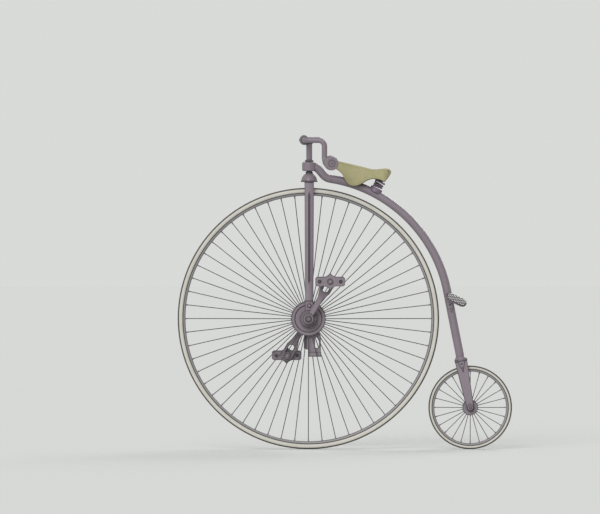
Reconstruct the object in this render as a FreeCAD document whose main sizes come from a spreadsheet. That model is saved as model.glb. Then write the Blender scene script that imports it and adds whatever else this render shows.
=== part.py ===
import FreeCAD, Part
import math
import os

import Sketcher

# Penny farthing bicycle. Millimetres and degrees; +X forward, +Y to the rider's left, +Z up.
# The origin is the rider's seat point on top of the saddle.

Vector = FreeCAD.Vector
doc = FreeCAD.newDocument("penny_farthing")

# Driving dimensions: name, value.
SIZES = [
    # wheels; spoke offsets are at the rim, off the middle plane
    ("front_radius", 635), ("front_tyre", 28), ("front_rim_depth", 12.5), ("front_rim_half", 11),
    ("front_spokes", 56), ("front_spoke_radius", 2), ("front_spoke_offset", 3.5),
    ("rear_radius", 203.2), ("rear_tyre", 20), ("rear_rim_depth", 11.5), ("rear_rim_half", 8.5),
    ("rear_spokes", 24), ("rear_spoke_radius", 1.7), ("rear_spoke_offset", 2.5),
    ("rim_lip", 2.5), ("cement", 0.2), ("spoke_gap", 0.3), ("wheel_gap", 58.6), ("running_fit", 0.08),
    # front hub and its bearing cases, from the middle plane outwards
    ("axle_radius", 9.5), ("barrel_radius", 22), ("hub_fillet", 12), ("flange_taper", 2),
    ("flange_inside", 44), ("flange_thickness", 8), ("flange_radius", 83), ("recess_radius", 63),
    ("recess", 3), ("recess_slope", 5), ("case_gap", 8), ("case_width", 24), ("case_radius", 42),
    ("case_round", 3), ("lug_width", 40), ("lug_top", 86), ("lug_thickness", 20), ("lug_round", 2),
    ("bolt_height", 64), ("bolt_washer_radius", 11), ("bolt_washer", 1.5), ("bolt_head_radius", 7.5),
    ("bolt_head", 5), ("bolt_round", 1.5),
    # cranks, measured out from the axle or in from the pin; the left one is turned back from upright
    ("crank_gap", 8), ("crank_thickness", 14), ("crank_boss_radius", 27), ("crank_boss_length", 24),
    ("crank_throw", 211), ("crank_waist", 26), ("crank_neck", 29), ("neck_length", 96), ("loop_half", 28.5),
    ("loop_length", 53), ("slot_width", 28), ("slot_length", 45), ("crank_turn", 30), ("crank_round", 3),
    ("crank_nut_radius", 14.5), ("crank_nut", 10), ("nut_round", 2), ("axle_stub", 2), ("centre_hole", 2.5),
    # pedals
    ("pin_radius", 6), ("pin_neck", 7), ("pin_neck_radius", 9), ("pin_collar_radius", 20), ("pin_collar", 4),
    ("pin_nut_radius", 18), ("pin_nut", 9), ("pedal_gap", 0.3), ("pedal_width", 88), ("pedal_plate", 4),
    ("pedal_half_length", 72), ("pedal_half_height", 22.5), ("pedal_point", 43), ("pedal_point_half", 28),
    ("pedal_cove", 40), ("pedal_corner", 8), ("pedal_tube_radius", 11), ("rod_reach", 51), ("rod_radius", 4),
    ("rod_recess_radius", 7.5), ("rod_recess", 3), ("rubber_width", 34), ("rubber_height", 30),
    ("rubber_groove", 3), ("pin_cap_radius", 14), ("pin_cap", 4), ("pin_button_radius", 8),
    ("pin_button", 2.5),
    # front fork
    ("steer_back", 4), ("crown_gap", 28), ("crown_height", 42), ("crown_brim", 7), ("brim_round", 2),
    ("crown_half_length", 41), ("crown_lip", 7), ("dome_lip", 3), ("dome_flat", 3), ("tyre_clearance", 16),
    ("blade_thickness", 18), ("blade_top_width", 46), ("blade_foot_width", 40), ("flute_radius", 5),
    ("flute_depth", 3), ("flute_foot", 95), ("flute_head", 62), ("flute_point", 24),
    ("column_radius", 14.5), ("column_socket", 15), ("column_stop", 14), ("column_collar_radius", 18),
    ("column_collar", 6), ("head_nut_radius", 21), ("head_nut", 9), ("head_nut_gap", 1),
    # head and neck
    ("head_gap", 11), ("head_height", 44), ("head_radius", 35), ("head_round", 8),
    ("tube_radius", 20.25), ("backbone_gap", 52), ("neck_angle", 81), ("neck_slope", 50), ("neck_bend", 48),
    ("neck_run", 22),
    # handlebar and grips
    ("lug_ball_radius", 25), ("lug_forward", 23), ("bar_above_head", 107), ("bar_radius", 13),
    ("bar_half", 178), ("bar_back", 97), ("bar_drop", 111), ("bar_bend", 30), ("bar_splay", 20),
    ("lug_socket_radius", 18.5), ("lug_socket_length", 30), ("lug_socket_rise", 12),
    ("grip_slant", 13.4), ("grip_tail_reach", 246), ("grip_length", 104), ("grip_radius", 33),
    ("grip_neck_radius", 17), ("grip_cap", 12), ("grip_bulb", 38), ("grip_shoulder", 20),
    ("grip_flare", 150), ("grip_crown", 36), ("grip_round", 5), ("grip_ring_radius", 16),
    ("grip_ring_half", 2), ("grip_ring_depth", 2), ("grip_button_radius", 5), ("grip_button", 1.5),
    # rear fork, measured up from the rear axle along the backbone's straight run
    ("socket_gap", 50.3), ("collar_length", 15), ("collar_radius", 31), ("collar_lip", 1), ("shoulder", 9),
    ("shoulder_lip", 3), ("shoulder_round", 6), ("rear_blade_thickness", 8), ("rear_blade_top_half", 30),
    ("rear_blade_foot_radius", 18), ("rear_tyre_clearance", 10),
    ("rear_foot_length", 26), ("tang_length", 55), ("tang_half", 18), ("tang", 3),
    # rear hub and axle
    ("rear_axle_radius", 6), ("rear_thread_radius", 5), ("rear_stub_radius", 4.5), ("rear_stub", 12),
    ("rear_nut_radius", 15), ("rear_nut", 10), ("rear_barrel_radius", 13), ("rear_flange_radius", 37),
    ("rear_flange_middle", 22), ("rear_flange", 4), ("rear_hub_half", 29), ("rear_hub_taper", 2),
    ("rear_gap", 3),
    # saddle, from the seat point
    ("seat_back", 318), ("seat_above_tyre", 87), ("leather", 6), ("saddle_width", 200), ("skirt_open", 60),
    ("strip_half", 15), ("strip", 6), ("soft_gap", 0.3),
    ("clip_at", 125), ("clip_length", 24), ("clip_half", 13), ("clip_round", 4),
    # rear saddle spring, up from the top of the backbone
    ("spring_back", 30), ("spring_seat", 9), ("spring_seat_radius", 30), ("spring_seat_sink", 14),
    ("spring_height", 28), ("spring_radius", 21), ("spring_wire", 4), ("spring_turns", 2),
    ("spring_plate", 9), ("spring_plate_radius", 27), ("web_thickness", 14), ("web_foot_half", 14),
    ("web_rear", 54), ("web_front", 16), ("plate_round", 2),
    # mounting step on the left of the backbone
    ("step_above_socket", 278.5), ("step_length", 107), ("step_width", 52), ("step_plate", 7),
    ("step_rim", 5), ("step_teeth", 4), ("tooth_pitch", 10), ("tooth_groove", 8.4), ("tooth_angle", 52),
    ("tooth_rows", 11), ("tooth_depth", 3.4), ("step_round", 2), ("step_slope", 25), ("step_tilt", 45),
    ("step_behind", 33), ("step_below", 8), ("step_sink", 4), ("step_pad_half", 13), ("step_pad_up", 30),
    ("step_pad_down", 34), ("step_pad_point", 62), ("step_pad_inside", 12), ("step_pad_thickness", 14),
    ("step_pad_round", 3),
    # hub lamp, from the front hub
    ("lamp_length", 60), ("lamp_half_width", 27), ("lamp_top", 48), ("lamp_bottom", 185),
    ("lamp_shoulder", 84), ("lamp_round", 3), ("lamp_back_bow", 90), ("tank_height", 22), ("tank_lip", 2),
    ("hood_length", 22), ("hood_top", 84), ("hood_bottom", 152), ("hood_rise", 6), ("hood_inset", 2),
    ("hood_sink", 2),
    ("hood_wall", 2.5), ("hood_depth", 12), ("lens_thickness", 4), ("handle_start", 32), ("handle_end", 49),
    ("handle_top", 90), ("handle_bottom", 143), ("handle_peak", 38), ("handle_shoulder", 100),
    ("handle_bow", 80), ("hanger_wall", 6), ("hanger_half", 12), ("hanger_length", 24),
]

# Places that follow from the sizes: name, expression.
PLACES = [
    ("hub_x", "size.seat_back"),
    ("hub_z", "-size.front_radius - size.seat_above_tyre"),
    ("drop", "size.front_radius - size.rear_radius"),
    ("hub_distance", "size.front_radius + size.rear_radius + size.wheel_gap"),
    ("wheelbase", "sqrt(at.hub_distance ^ 2 - at.drop ^ 2)"),
    ("rear_x", "at.hub_x - at.wheelbase"),
    ("rear_z", "at.hub_z - at.drop"),
    ("steer_x", "at.hub_x - size.steer_back"),
    ("arc_radius", "size.front_radius + size.backbone_gap"),
    ("crown_bottom", "size.front_radius + size.crown_gap"),
    ("crown_top", "at.crown_bottom + size.crown_height"),
    ("head_bottom", "at.crown_top + size.head_gap"),
    ("head_top", "at.head_bottom + size.head_height"),
    ("bar_height", "at.head_top + size.bar_above_head"),
    ("front_tyre_middle", "size.front_radius - size.front_tyre / 2"),
    ("rear_tyre_middle", "size.rear_radius - size.rear_tyre / 2"),
    ("flange_outside", "size.flange_inside + size.flange_thickness"),
    ("case_inside", "at.flange_outside + size.case_gap"),
    ("case_outside", "at.case_inside + size.case_width"),
    ("blade_foot_reach", "at.case_inside + size.case_width / 2"),
    ("blade_top_reach", "size.front_tyre / 2 + size.tyre_clearance + size.blade_thickness / 2"),
    ("crown_half_width", "at.blade_top_reach + size.blade_thickness / 2 + size.crown_lip"),
    ("crank_middle", "at.case_outside + size.crank_gap + size.crank_boss_length / 2"),
    ("boss_outside", "at.crank_middle + size.crank_boss_length / 2"),
    ("neck_start", "size.crank_throw - size.neck_length"),
    ("loop_start", "size.crank_throw - size.loop_length"),
    ("slot_start", "size.crank_throw - size.slot_length"),
    ("pedal_inside", "size.crank_thickness / 2 + size.pin_collar + size.pin_neck"),
    ("pedal_outside", "at.pedal_inside + size.pedal_width"),
    ("socket_top", "size.rear_radius + size.socket_gap"),
    ("blade_top", "at.socket_top - size.collar_length - size.shoulder"),
    ("rear_foot_inside", "size.rear_hub_half + size.rear_gap"),
    ("rear_foot_outside", "at.rear_foot_inside + size.rear_blade_thickness"),
    ("rear_top_inside", "size.rear_tyre / 2 + size.rear_tyre_clearance"),
    ("shoulder_half", "at.rear_top_inside + size.rear_blade_thickness + size.shoulder_lip"),
    ("spring_reach", "at.arc_radius + size.tube_radius + size.spring_seat + size.spring_height"
                     " + size.spring_plate / 2"),
    ("spring_angle", "acos((size.seat_back + size.spring_back) / at.spring_reach) / 1 deg"),
    ("plate_height", "at.hub_z + at.spring_reach * sin(at.spring_angle)"),
    ("lean", "(atan(at.wheelbase / at.drop) - asin(at.arc_radius / at.hub_distance)) / 1 deg"),
    ("step_at", "at.socket_top + size.step_above_socket"),
    ("step_outside", "size.step_pad_inside + size.step_pad_thickness"),
    ("mouth_half", "size.lamp_half_width - size.hood_inset - size.hood_wall"),
    ("mouth_low", "-size.hood_bottom + size.hood_rise + size.hood_wall"),
    ("mouth_high", "-size.hood_top - size.hood_wall"),
]


def makeSheet():
    sheet = doc.addObject("Spreadsheet::Sheet", "size")
    for row, (name, number) in enumerate(SIZES, 1):
        sheet.set("A%d" % row, name)
        sheet.set("B%d" % row, str(number))
        sheet.setAlias("B%d" % row, name)
    doc.recompute()
    return sheet


def makePlaces():
    places = doc.addObject("App::VarSet", "at")
    for name, expression in PLACES:
        places.addProperty("App::PropertyFloat", name, "places")
        places.setExpression(name, expression.replace("at.", ""))
        doc.recompute()
    return places


size = makeSheet()
at = makePlaces()


def value(expression):
    """The number that an expression over the sizes and places has now."""
    return float(at.evalExpression(expression))


def plane(body, role):
    return next(f for f in body.Origin.OriginFeatures if f.Role == role)


def newBody(name):
    return doc.addObject("PartDesign::Body", name)


def newSketch(body, name, role, offset=None):
    """A sketch on one of the body's origin planes, moved off it along its normal."""
    sketch = body.newObject("Sketcher::SketchObject", name)
    sketch.AttachmentSupport = [(plane(body, role), "")]
    sketch.MapMode = "FlatFace"
    if offset:
        sketch.setExpression("AttachmentOffset.Base.z", offset)
    return sketch


def bind(sketch, constraint, expression):
    sketch.setExpression("Constraints[%d]" % sketch.addConstraint(constraint), expression)


ROUND = "half round"


def addOutline(sketch, rows):
    """A closed outline through rows of (x, y, bend): bend is the radius of the arc to the next point,
    positive turning left and negative turning right, ROUND for a half circle, or None for a straight line.
    """
    spots = [(value(x), value(y)) for x, y, _ in rows]
    ends = []
    first = sketch.GeometryCount
    for i, (x, y, bend) in enumerate(rows):
        a, b = Vector(*spots[i], 0), Vector(*spots[(i + 1) % len(rows)], 0)
        if bend is None:
            sketch.addGeometry(Part.LineSegment(a, b), False)
            ends.append((1, 2))
            continue
        middle, along = (a + b) / 2, (b - a)
        radius = along.Length / 2 if bend == ROUND else value(bend)
        left = Vector(-along.y, along.x, 0).normalize()
        rise = math.sqrt(max(radius ** 2 - (along.Length / 2) ** 2, 0))
        centre = middle + left * math.copysign(rise, radius)
        start, end = (a, b) if radius > 0 else (b, a)
        angles = [math.atan2(q.y - centre.y, q.x - centre.x) for q in (start, end)]
        circle = Part.Circle(centre, Vector(0, 0, 1), abs(radius))
        sketch.addGeometry(Part.ArcOfCircle(circle, angles[0], angles[1]), False)
        ends.append((1, 2) if radius > 0 else (2, 1))
    for i, (x, y, bend) in enumerate(rows):
        j = (i + 1) % len(rows)
        sketch.addConstraint(Sketcher.Constraint("Coincident", first + i, ends[i][1], first + j, ends[j][0]))
        bind(sketch, Sketcher.Constraint("DistanceX", -1, 1, first + i, ends[i][0], spots[i][0]), x)
        bind(sketch, Sketcher.Constraint("DistanceY", -1, 1, first + i, ends[i][0], spots[i][1]), y)
        if bend == ROUND:
            sketch.addConstraint(Sketcher.Constraint("Symmetric", first + i, 1, first + i, 2, first + i, 3))
        elif bend is not None:
            bind(sketch, Sketcher.Constraint("Radius", first + i, abs(value(bend))), "abs(%s)" % bend)


def addCircle(sketch, x, y, radius):
    spot = Vector(value(x), value(y), 0)
    index = sketch.addGeometry(Part.Circle(spot, Vector(0, 0, 1), value(radius)), False)
    bind(sketch, Sketcher.Constraint("DistanceX", -1, 1, index, 3, spot.x), x)
    bind(sketch, Sketcher.Constraint("DistanceY", -1, 1, index, 3, spot.y), y)
    bind(sketch, Sketcher.Constraint("Radius", index, value(radius)), radius)


def addEllipse(sketch, y, half_x, half_y):
    """An ellipse on the sketch's upright axis, its long half along x."""
    spot, long_half, short_half = Vector(0, value(y), 0), value(half_x), value(half_y)
    ellipse = Part.Ellipse(spot + Vector(long_half, 0, 0), spot + Vector(0, short_half, 0), spot)
    sketch.addGeometry(ellipse, False)
    sketch.exposeInternalGeometry(0)
    sketch.addConstraint(Sketcher.Constraint("PointOnObject", 0, 3, -2))
    sketch.addConstraint(Sketcher.Constraint("Horizontal", 1))
    bind(sketch, Sketcher.Constraint("DistanceY", -1, 1, 0, 3, spot.y), y)
    bind(sketch, Sketcher.Constraint("Distance", 1, 2 * long_half), "2 * " + half_x)
    bind(sketch, Sketcher.Constraint("Distance", 2, 2 * short_half), "2 * " + half_y)


def pad(body, sketch, length, middle=True, reverse=False):
    feature = body.newObject("PartDesign::Pad", sketch.Name + "_pad")
    feature.Profile = sketch
    feature.Midplane = middle
    feature.Reversed = reverse
    feature.setExpression("Length", length)
    return feature


def pocket(body, sketch, length, middle=True, reverse=False):
    doc.recompute()
    before = body.Shape.Volume
    feature = body.newObject("PartDesign::Pocket", sketch.Name + "_pocket")
    feature.Profile = sketch
    feature.Midplane = middle
    feature.Reversed = reverse
    feature.setExpression("Length", length)
    doc.recompute()
    if body.Shape.Volume > before - 0.01:
        raise RuntimeError(sketch.Name + " cuts nothing")
    return feature


def revolve(body, sketch, role="Y_Axis"):
    feature = body.newObject("PartDesign::Revolution", sketch.Name + "_turned")
    feature.Profile = sketch
    feature.ReferenceAxis = (plane(body, role), [""])
    feature.Angle = 360
    return feature


def rounded(body, name, radius, wanted):
    """Round the edges of the body so far that meet a test."""
    doc.recompute()
    last = body.Tip
    edges = ["Edge%d" % (i + 1) for i, edge in enumerate(last.Shape.Edges) if wanted(edge)]
    feature = body.newObject("PartDesign::Fillet", name)
    feature.Base = (last, edges)
    feature.setExpression("Radius", radius)
    return feature


def roundedPart(name, base, radius, wanted):
    """The same for a boolean."""
    doc.recompute()
    feature = doc.addObject("Part::Fillet", name)
    feature.Base = base
    r = value(radius)
    feature.Edges = [(i + 1, r, r) for i, edge in enumerate(base.Shape.Edges) if wanted(edge)]
    return feature


def allAt(edge, axis, *places):
    """Whether an edge lies in one of the planes across an axis at the given places."""
    box = edge.BoundBox
    low, high = getattr(box, axis + "Min"), getattr(box, axis + "Max")
    return any(abs(low - p) < 0.01 and abs(high - p) < 0.01 for p in map(value, places))


def isUpright(edge):
    return isinstance(edge.Curve, Part.Line) and abs(edge.tangentAt(edge.FirstParameter).z) > 0.99


def isCircle(edge, radius):
    return isinstance(edge.Curve, Part.Circle) and abs(edge.Curve.Radius - value(radius)) < 0.01


def turnedPiece(name, rows, axis="Y"):
    """A piece turned about the Y axis from rows of (y, radius, bend), or about Z from (radius, z, bend)."""
    body = newBody(name)
    sketch = newSketch(body, name + "_profile", "YZ_Plane" if axis == "Y" else "XZ_Plane")
    addOutline(sketch, rows)
    revolve(body, sketch, axis + "_Axis")
    return body


def moved(x, y, z):
    return "placement(vector(%s; %s; %s); rotation(vector(0;0;1); 0))" % (x, y, z)


def turned(axis, degrees):
    return "placement(vector(0;0;0); rotation(vector(%s); %s))" % (axis, degrees)


def place(piece, *steps):
    """Bind a piece's Placement to moves and turns, the outermost first."""
    piece.setExpression("Placement", " * ".join(steps))
    return piece


X, Y, Z = "1;0;0", "0;1;0", "0;0;1"
FRONT = ("at.hub_x", "0", "at.hub_z")
REAR = ("at.rear_x", "0", "at.rear_z")
SIDES = (("left", "1"), ("right", "-1"))


def primitive(kind, name, **sizes):
    item = doc.addObject("Part::" + kind, name)
    for key, expression in sizes.items():
        item.setExpression(key, str(expression))
    return item


def join(name, items):
    fuse = doc.addObject("Part::MultiFuse", name)
    fuse.Shapes = items
    return fuse


def shared(name, items):
    common = doc.addObject("Part::MultiCommon", name)
    common.Shapes = items
    return common


def cut(name, base, tool):
    item = doc.addObject("Part::Cut", name)
    item.Base = base
    item.Tool = tool
    return item


def group(name, items):
    """Several solids that don't touch, kept in one piece."""
    item = doc.addObject("Part::Compound", name)
    item.Links = items
    return item


def acrossCylinder(name, radius, length, x, y, z):
    """A cylinder along +Y, from y outwards."""
    item = primitive("Cylinder", name, Radius=radius, Height=length)
    return place(item, moved(x, y, z), turned(X, "-90"))


def crossed(name, front, side, reach):
    """What a front outline (y, z) drawn out along X shares with a side outline (x, z) drawn out along Y."""
    pieces = []
    for way, role, rows in (("front", "YZ_Plane", front), ("side", "XZ_Plane", side)):
        body = newBody("%s_%s" % (name, way))
        sketch = newSketch(body, "%s_%s_outline" % (name, way), role)
        addOutline(sketch, rows)
        pad(body, sketch, reach)
        pieces.append(body)
    return shared(name, pieces)


# ---------------------------------------------------------------- wheels

def tyre(name, middle, section, where):
    ring = primitive("Torus", name, Radius1=middle, Radius2="%s / 2" % section)
    return place(ring, moved(*where), turned(X, "90"))


def rim(name, middle, section, depth, half, where):
    """A U section that cradles the inner side of the tyre."""
    lip = "(%s - %s / 2 + size.rim_lip)" % (middle, section)
    round_start = "%s - %s + %s" % (lip, depth, half)
    bed = "(%s / 2 + size.cement)" % section
    bed_half = "sqrt(%s ^ 2 - (%s / 2 - size.rim_lip) ^ 2)" % (bed, section)
    rows = [("-" + half, lip, None), ("-" + half, round_start, ROUND), (half, round_start, None),
            (half, lip, None), (bed_half, lip, "-" + bed), ("-" + bed_half, lip, None)]
    return place(turnedPiece(name, rows), moved(*where))


def spokes(wheel, hub_y, hub_r, where):
    """Radial spokes, running to the left and right flange in turn."""
    name, count, offset = wheel + "_spokes", "size.%s_spokes" % wheel, "size.%s_spoke_offset" % wheel
    rim_r = "(at.%s_tyre_middle - size.%s_tyre / 2 + size.rim_lip - size.%s_rim_depth - size.spoke_gap)" % (
        wheel, wheel, wheel)
    lean = "atan((%s - %s) / (%s - %s))" % (hub_y, offset, rim_r, hub_r)
    sides = []
    for side, sign, turn in (("left", "1", "0"), ("right", "-1", "360 / " + count)):
        body = newBody("%s_%s" % (name, side))
        body.AllowCompound = True
        wire = body.newObject("PartDesign::AdditiveCylinder", "%s_%s_wire" % (name, side))
        wire.setExpression("Radius", "size.%s_spoke_radius" % wheel)
        wire.setExpression("Height", "(%s - %s) / cos(%s)" % (rim_r, hub_r, lean))
        place(wire, moved("0", "%s * %s" % (sign, hub_y), hub_r), turned(X, "%s * %s" % (sign, lean)))
        pattern = body.newObject("PartDesign::PolarPattern", "%s_%s_round" % (name, side))
        pattern.Originals = [wire]
        pattern.Axis = (plane(body, "Y_Axis"), [""])
        pattern.Angle = 360
        pattern.setExpression("Occurrences", count + " / 2")
        body.Tip = pattern
        sides.append(place(body, moved(*where), turned(Y, turn)))
    return group(name, sides)


def frontHub():
    """A barrel that swells into two broad flanges, each with a shallow round recess."""
    wide, recess = "at.flange_outside", "size.recess_radius"
    floor = "at.flange_outside - size.recess"
    swell = "size.flange_inside - size.flange_taper"
    left = [
        (swell, "size.barrel_radius + size.hub_fillet", None),
        ("size.flange_inside", "size.flange_radius", None),
        (wide, "size.flange_radius", None), (wide, recess + " + size.recess_slope", None),
        (floor, recess, None), (floor, "size.axle_radius", None)]
    right = [("-(%s)" % y, r, None) for y, r, _ in reversed(left)]
    start = "%s - size.hub_fillet" % swell
    right[-1] = right[-1][:2] + ("size.hub_fillet",)
    rows = [(start, "size.barrel_radius", "size.hub_fillet")] + left + right
    rows += [("-(%s)" % start, "size.barrel_radius", None)]
    return place(turnedPiece("front_hub", rows), moved(*FRONT))


def frontAxle():
    """A plain shaft with a centre hole in each end."""
    end, hole = "at.boss_outside + size.crank_nut + size.axle_stub", "size.centre_hole"
    left = [("%s - %s" % (end, hole), "0", None), (end, hole, None), (end, "size.axle_radius", None)]
    rows = left + [("-(%s)" % y, r, None) for y, r, _ in reversed(left)]
    return place(turnedPiece("front_axle", rows), moved(*FRONT))


def crank(side, sign, turn):
    """A tapered arm with a boss at the axle and a slotted loop for the pedal pin."""
    name = "crank_" + side
    body = newBody(name)
    arm = newSketch(body, name + "_arm", "XZ_Plane")
    waist, neck = "size.crank_waist / 2", "size.crank_neck / 2"
    half, end = "size.loop_half", "size.crank_throw"
    addOutline(arm, [
        ("-" + waist, "0", None), (waist, "0", None), (neck, "at.neck_start", None),
        (half, "at.loop_start", None), (half, end, ROUND), ("-" + half, end, None),
        ("-" + half, "at.loop_start", None), ("-" + neck, "at.neck_start", None)])
    pad(body, arm, "size.crank_thickness")
    rounded(body, name + "_edges", "size.crank_round",
            lambda edge: allAt(edge, "Y", "size.crank_thickness / 2", "-size.crank_thickness / 2"))
    boss = newSketch(body, name + "_boss", "XZ_Plane")
    addCircle(boss, "0", "0", "size.crank_boss_radius")
    pad(body, boss, "size.crank_boss_length")
    rounded(body, name + "_boss_edges", "size.crank_round",
            lambda edge: allAt(edge, "Y", "size.crank_boss_length / 2", "-size.crank_boss_length / 2"))
    slot = newSketch(body, name + "_slot", "XZ_Plane")
    hole = "size.slot_width / 2"
    addOutline(slot, [("-" + hole, "at.slot_start", ROUND), (hole, "at.slot_start", None),
                      (hole, end, ROUND), ("-" + hole, end, None)])
    addCircle(slot, "0", "0", "size.axle_radius")
    pocket(body, slot, "2 * size.crank_boss_length")
    return place(body, moved("at.hub_x", "%s * at.crank_middle" % sign, "at.hub_z"), turned(Y, turn))


def crankNuts():
    nuts = []
    for side, sign in SIDES:
        end, radius, soft = "size.crank_nut", "size.crank_nut_radius", "size.nut_round"
        rows = [("0", "size.axle_radius", None), ("0", radius, None),
                ("%s - %s" % (end, soft), radius, "-" + soft), (end, "%s - %s" % (radius, soft), None),
                (end, "size.axle_radius", None)]
        nut = turnedPiece("crank_nut_" + side, rows)
        nuts.append(place(nut, moved("at.hub_x", "%s * at.boss_outside" % sign, "at.hub_z"),
                          turned(Z, "0" if sign == "1" else "180")))
    return group("crank_nuts", nuts)


def pedalSpot(sign, turn):
    """The pedal axis on the crank's middle plane, and the turn that points +Y outwards."""
    x = "at.hub_x + size.crank_throw * sin(%s)" % turn
    z = "at.hub_z + size.crank_throw * cos(%s)" % turn
    return [moved(x, "%s * at.crank_middle" % sign, z), turned(Z, "0" if sign == "1" else "180")]


def pedalPin(side, sign, turn):
    """The pin, its block in the crank's slot, the nut behind it and the cap outside the pedal."""
    half, cap = "size.crank_thickness / 2", "at.pedal_outside + size.pedal_gap"
    neck = "at.pedal_inside - size.pedal_gap"
    steps = [
        ("-%s - size.pin_nut" % half, "size.pin_nut_radius"),
        ("-%s" % half, "size.slot_width / 2 - size.running_fit"),
        (half, "size.pin_collar_radius"), ("%s + size.pin_collar" % half, "size.pin_neck_radius"),
        (neck, "size.pin_radius"), (cap, "size.pin_cap_radius"),
        (cap + " + size.pin_cap", "size.pin_button_radius")]
    end = cap + " + size.pin_cap + size.pin_button"
    rows = [(steps[0][0], "0", None)]
    for i, (start, radius) in enumerate(steps):
        stop = steps[i + 1][0] if i + 1 < len(steps) else end
        rows += [(start, radius, None), (stop, radius, None)]
    rows += [(end, "0", None)]
    return place(turnedPiece("pedal_pin_" + side, rows), *pedalSpot(sign, turn))


def pedalCage(side, sign, turn):
    """Two pointed plates joined by the middle tube and the two rods that carry the rubbers."""
    name = "pedal_cage_" + side
    body = newBody(name)
    length, height, corner = "size.pedal_half_length", "size.pedal_half_height", "size.pedal_corner"
    foot, cove = "size.pedal_point_half", "-size.pedal_cove"
    rows = [(length, "%s - %s" % (height, corner), None), ("%s - %s" % (length, corner), height, None),
            (foot, height, cove), ("0", "size.pedal_point", cove), ("-" + foot, height, None),
            ("-(%s - %s)" % (length, corner), height, None),
            ("-" + length, "%s - %s" % (height, corner), None)]
    rows += [("-(%s)" % x, "-(%s)" % z, bend) for x, z, bend in rows]
    for end, start in (("inner", "at.pedal_inside"), ("outer", "at.pedal_outside - size.pedal_plate")):
        sketch = newSketch(body, "%s_%s" % (name, end), "XZ_Plane", "-(%s)" % start)
        addOutline(sketch, rows)
        pad(body, sketch, "size.pedal_plate", middle=False, reverse=True)
    recess = newSketch(body, name + "_recess", "XZ_Plane", "-(at.pedal_outside)")
    for way in ("-", ""):
        addCircle(recess, way + "size.rod_reach", "0", "size.rod_recess_radius")
    pocket(body, recess, "size.rod_recess", middle=False, reverse=True)
    tube = newSketch(body, name + "_tube", "XZ_Plane", "-at.pedal_inside")
    addCircle(tube, "0", "0", "size.pedal_tube_radius")
    pad(body, tube, "size.pedal_width", middle=False, reverse=True)
    rods = newSketch(body, name + "_rods", "XZ_Plane", "-at.pedal_inside")
    for way in ("-", ""):
        addCircle(rods, way + "size.rod_reach", "0", "size.rod_radius")
    pad(body, rods, "size.pedal_width", middle=False, reverse=True)
    bore = newSketch(body, name + "_bore", "XZ_Plane")
    addCircle(bore, "0", "0", "size.pin_radius + size.running_fit")
    pocket(body, bore, "3 * at.pedal_outside")
    return place(body, *pedalSpot(sign, turn))


def pedalRubbers(side, sign, turn):
    """Two rubber blocks on the rods, each with a V groove along all four faces."""
    name = "pedal_rubbers_" + side
    body = newBody(name)
    body.AllowCompound = True
    sketch = newSketch(body, name + "_section", "XZ_Plane", "-(at.pedal_inside + size.pedal_plate)")
    # the section's corners: half widths and grooves along x, half heights and grooves along z
    corners, quarter = [], [(1, 0, -1, 0), (1, 0, 0, -1), (1, -1, 0, 0), (1, 0, 0, 1)]
    for _ in range(4):
        corners += quarter
        quarter = [(-c, -d, a, b) for a, b, c, d in quarter]
    for way in ("-1", "1"):
        centre = "%s * size.rod_reach" % way
        addOutline(sketch, [("%s + %d * size.rubber_width / 2 + %d * size.rubber_groove" % (centre, a, b),
                             "%d * size.rubber_height / 2 + %d * size.rubber_groove" % (c, d), None)
                            for a, b, c, d in corners])
        addCircle(sketch, centre, "0", "size.rod_radius")
    pad(body, sketch, "size.pedal_width - 2 * size.pedal_plate", middle=False, reverse=True)
    return place(body, *pedalSpot(sign, turn))


# ---------------------------------------------------------------- front fork

def fromSteering(height):
    return moved("at.steer_x", "0", "at.hub_z + %s" % height)


def forkCrown():
    """A dome on an oval brim, flattened on top and bored for the column."""
    body = newBody("crown_brim")
    brim = newSketch(body, "crown_brim_outline", "XY_Plane")
    addEllipse(brim, "0", "at.crown_half_width", "size.crown_half_length")
    pad(body, brim, "size.crown_brim", middle=False)
    rounded(body, "crown_brim_edges", "size.brim_round",
            lambda edge: allAt(edge, "Z", "0", "size.crown_brim"))
    place(body, fromSteering("at.crown_bottom"), turned(Z, "90"))
    dome = primitive("Ellipsoid", "crown_dome",
                     Radius1="size.crown_height - size.crown_brim + size.dome_flat",
                     Radius2="size.crown_half_length - size.dome_lip",
                     Radius3="at.crown_half_width - size.dome_lip")
    dome.Angle1 = 0
    place(dome, fromSteering("at.crown_bottom + size.crown_brim"))
    whole = join("crown_whole", [body, dome])
    socket = primitive("Cylinder", "crown_socket", Radius="size.column_radius", Height="size.column_socket")
    place(socket, fromSteering("at.crown_top - size.column_socket"))
    top = primitive("Cylinder", "crown_top_face", Radius="at.crown_half_width", Height="size.crown_height")
    place(top, fromSteering("at.crown_top"))
    return cut("fork_crown_cut", whole, join("crown_cuts", [socket, top]))


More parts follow.
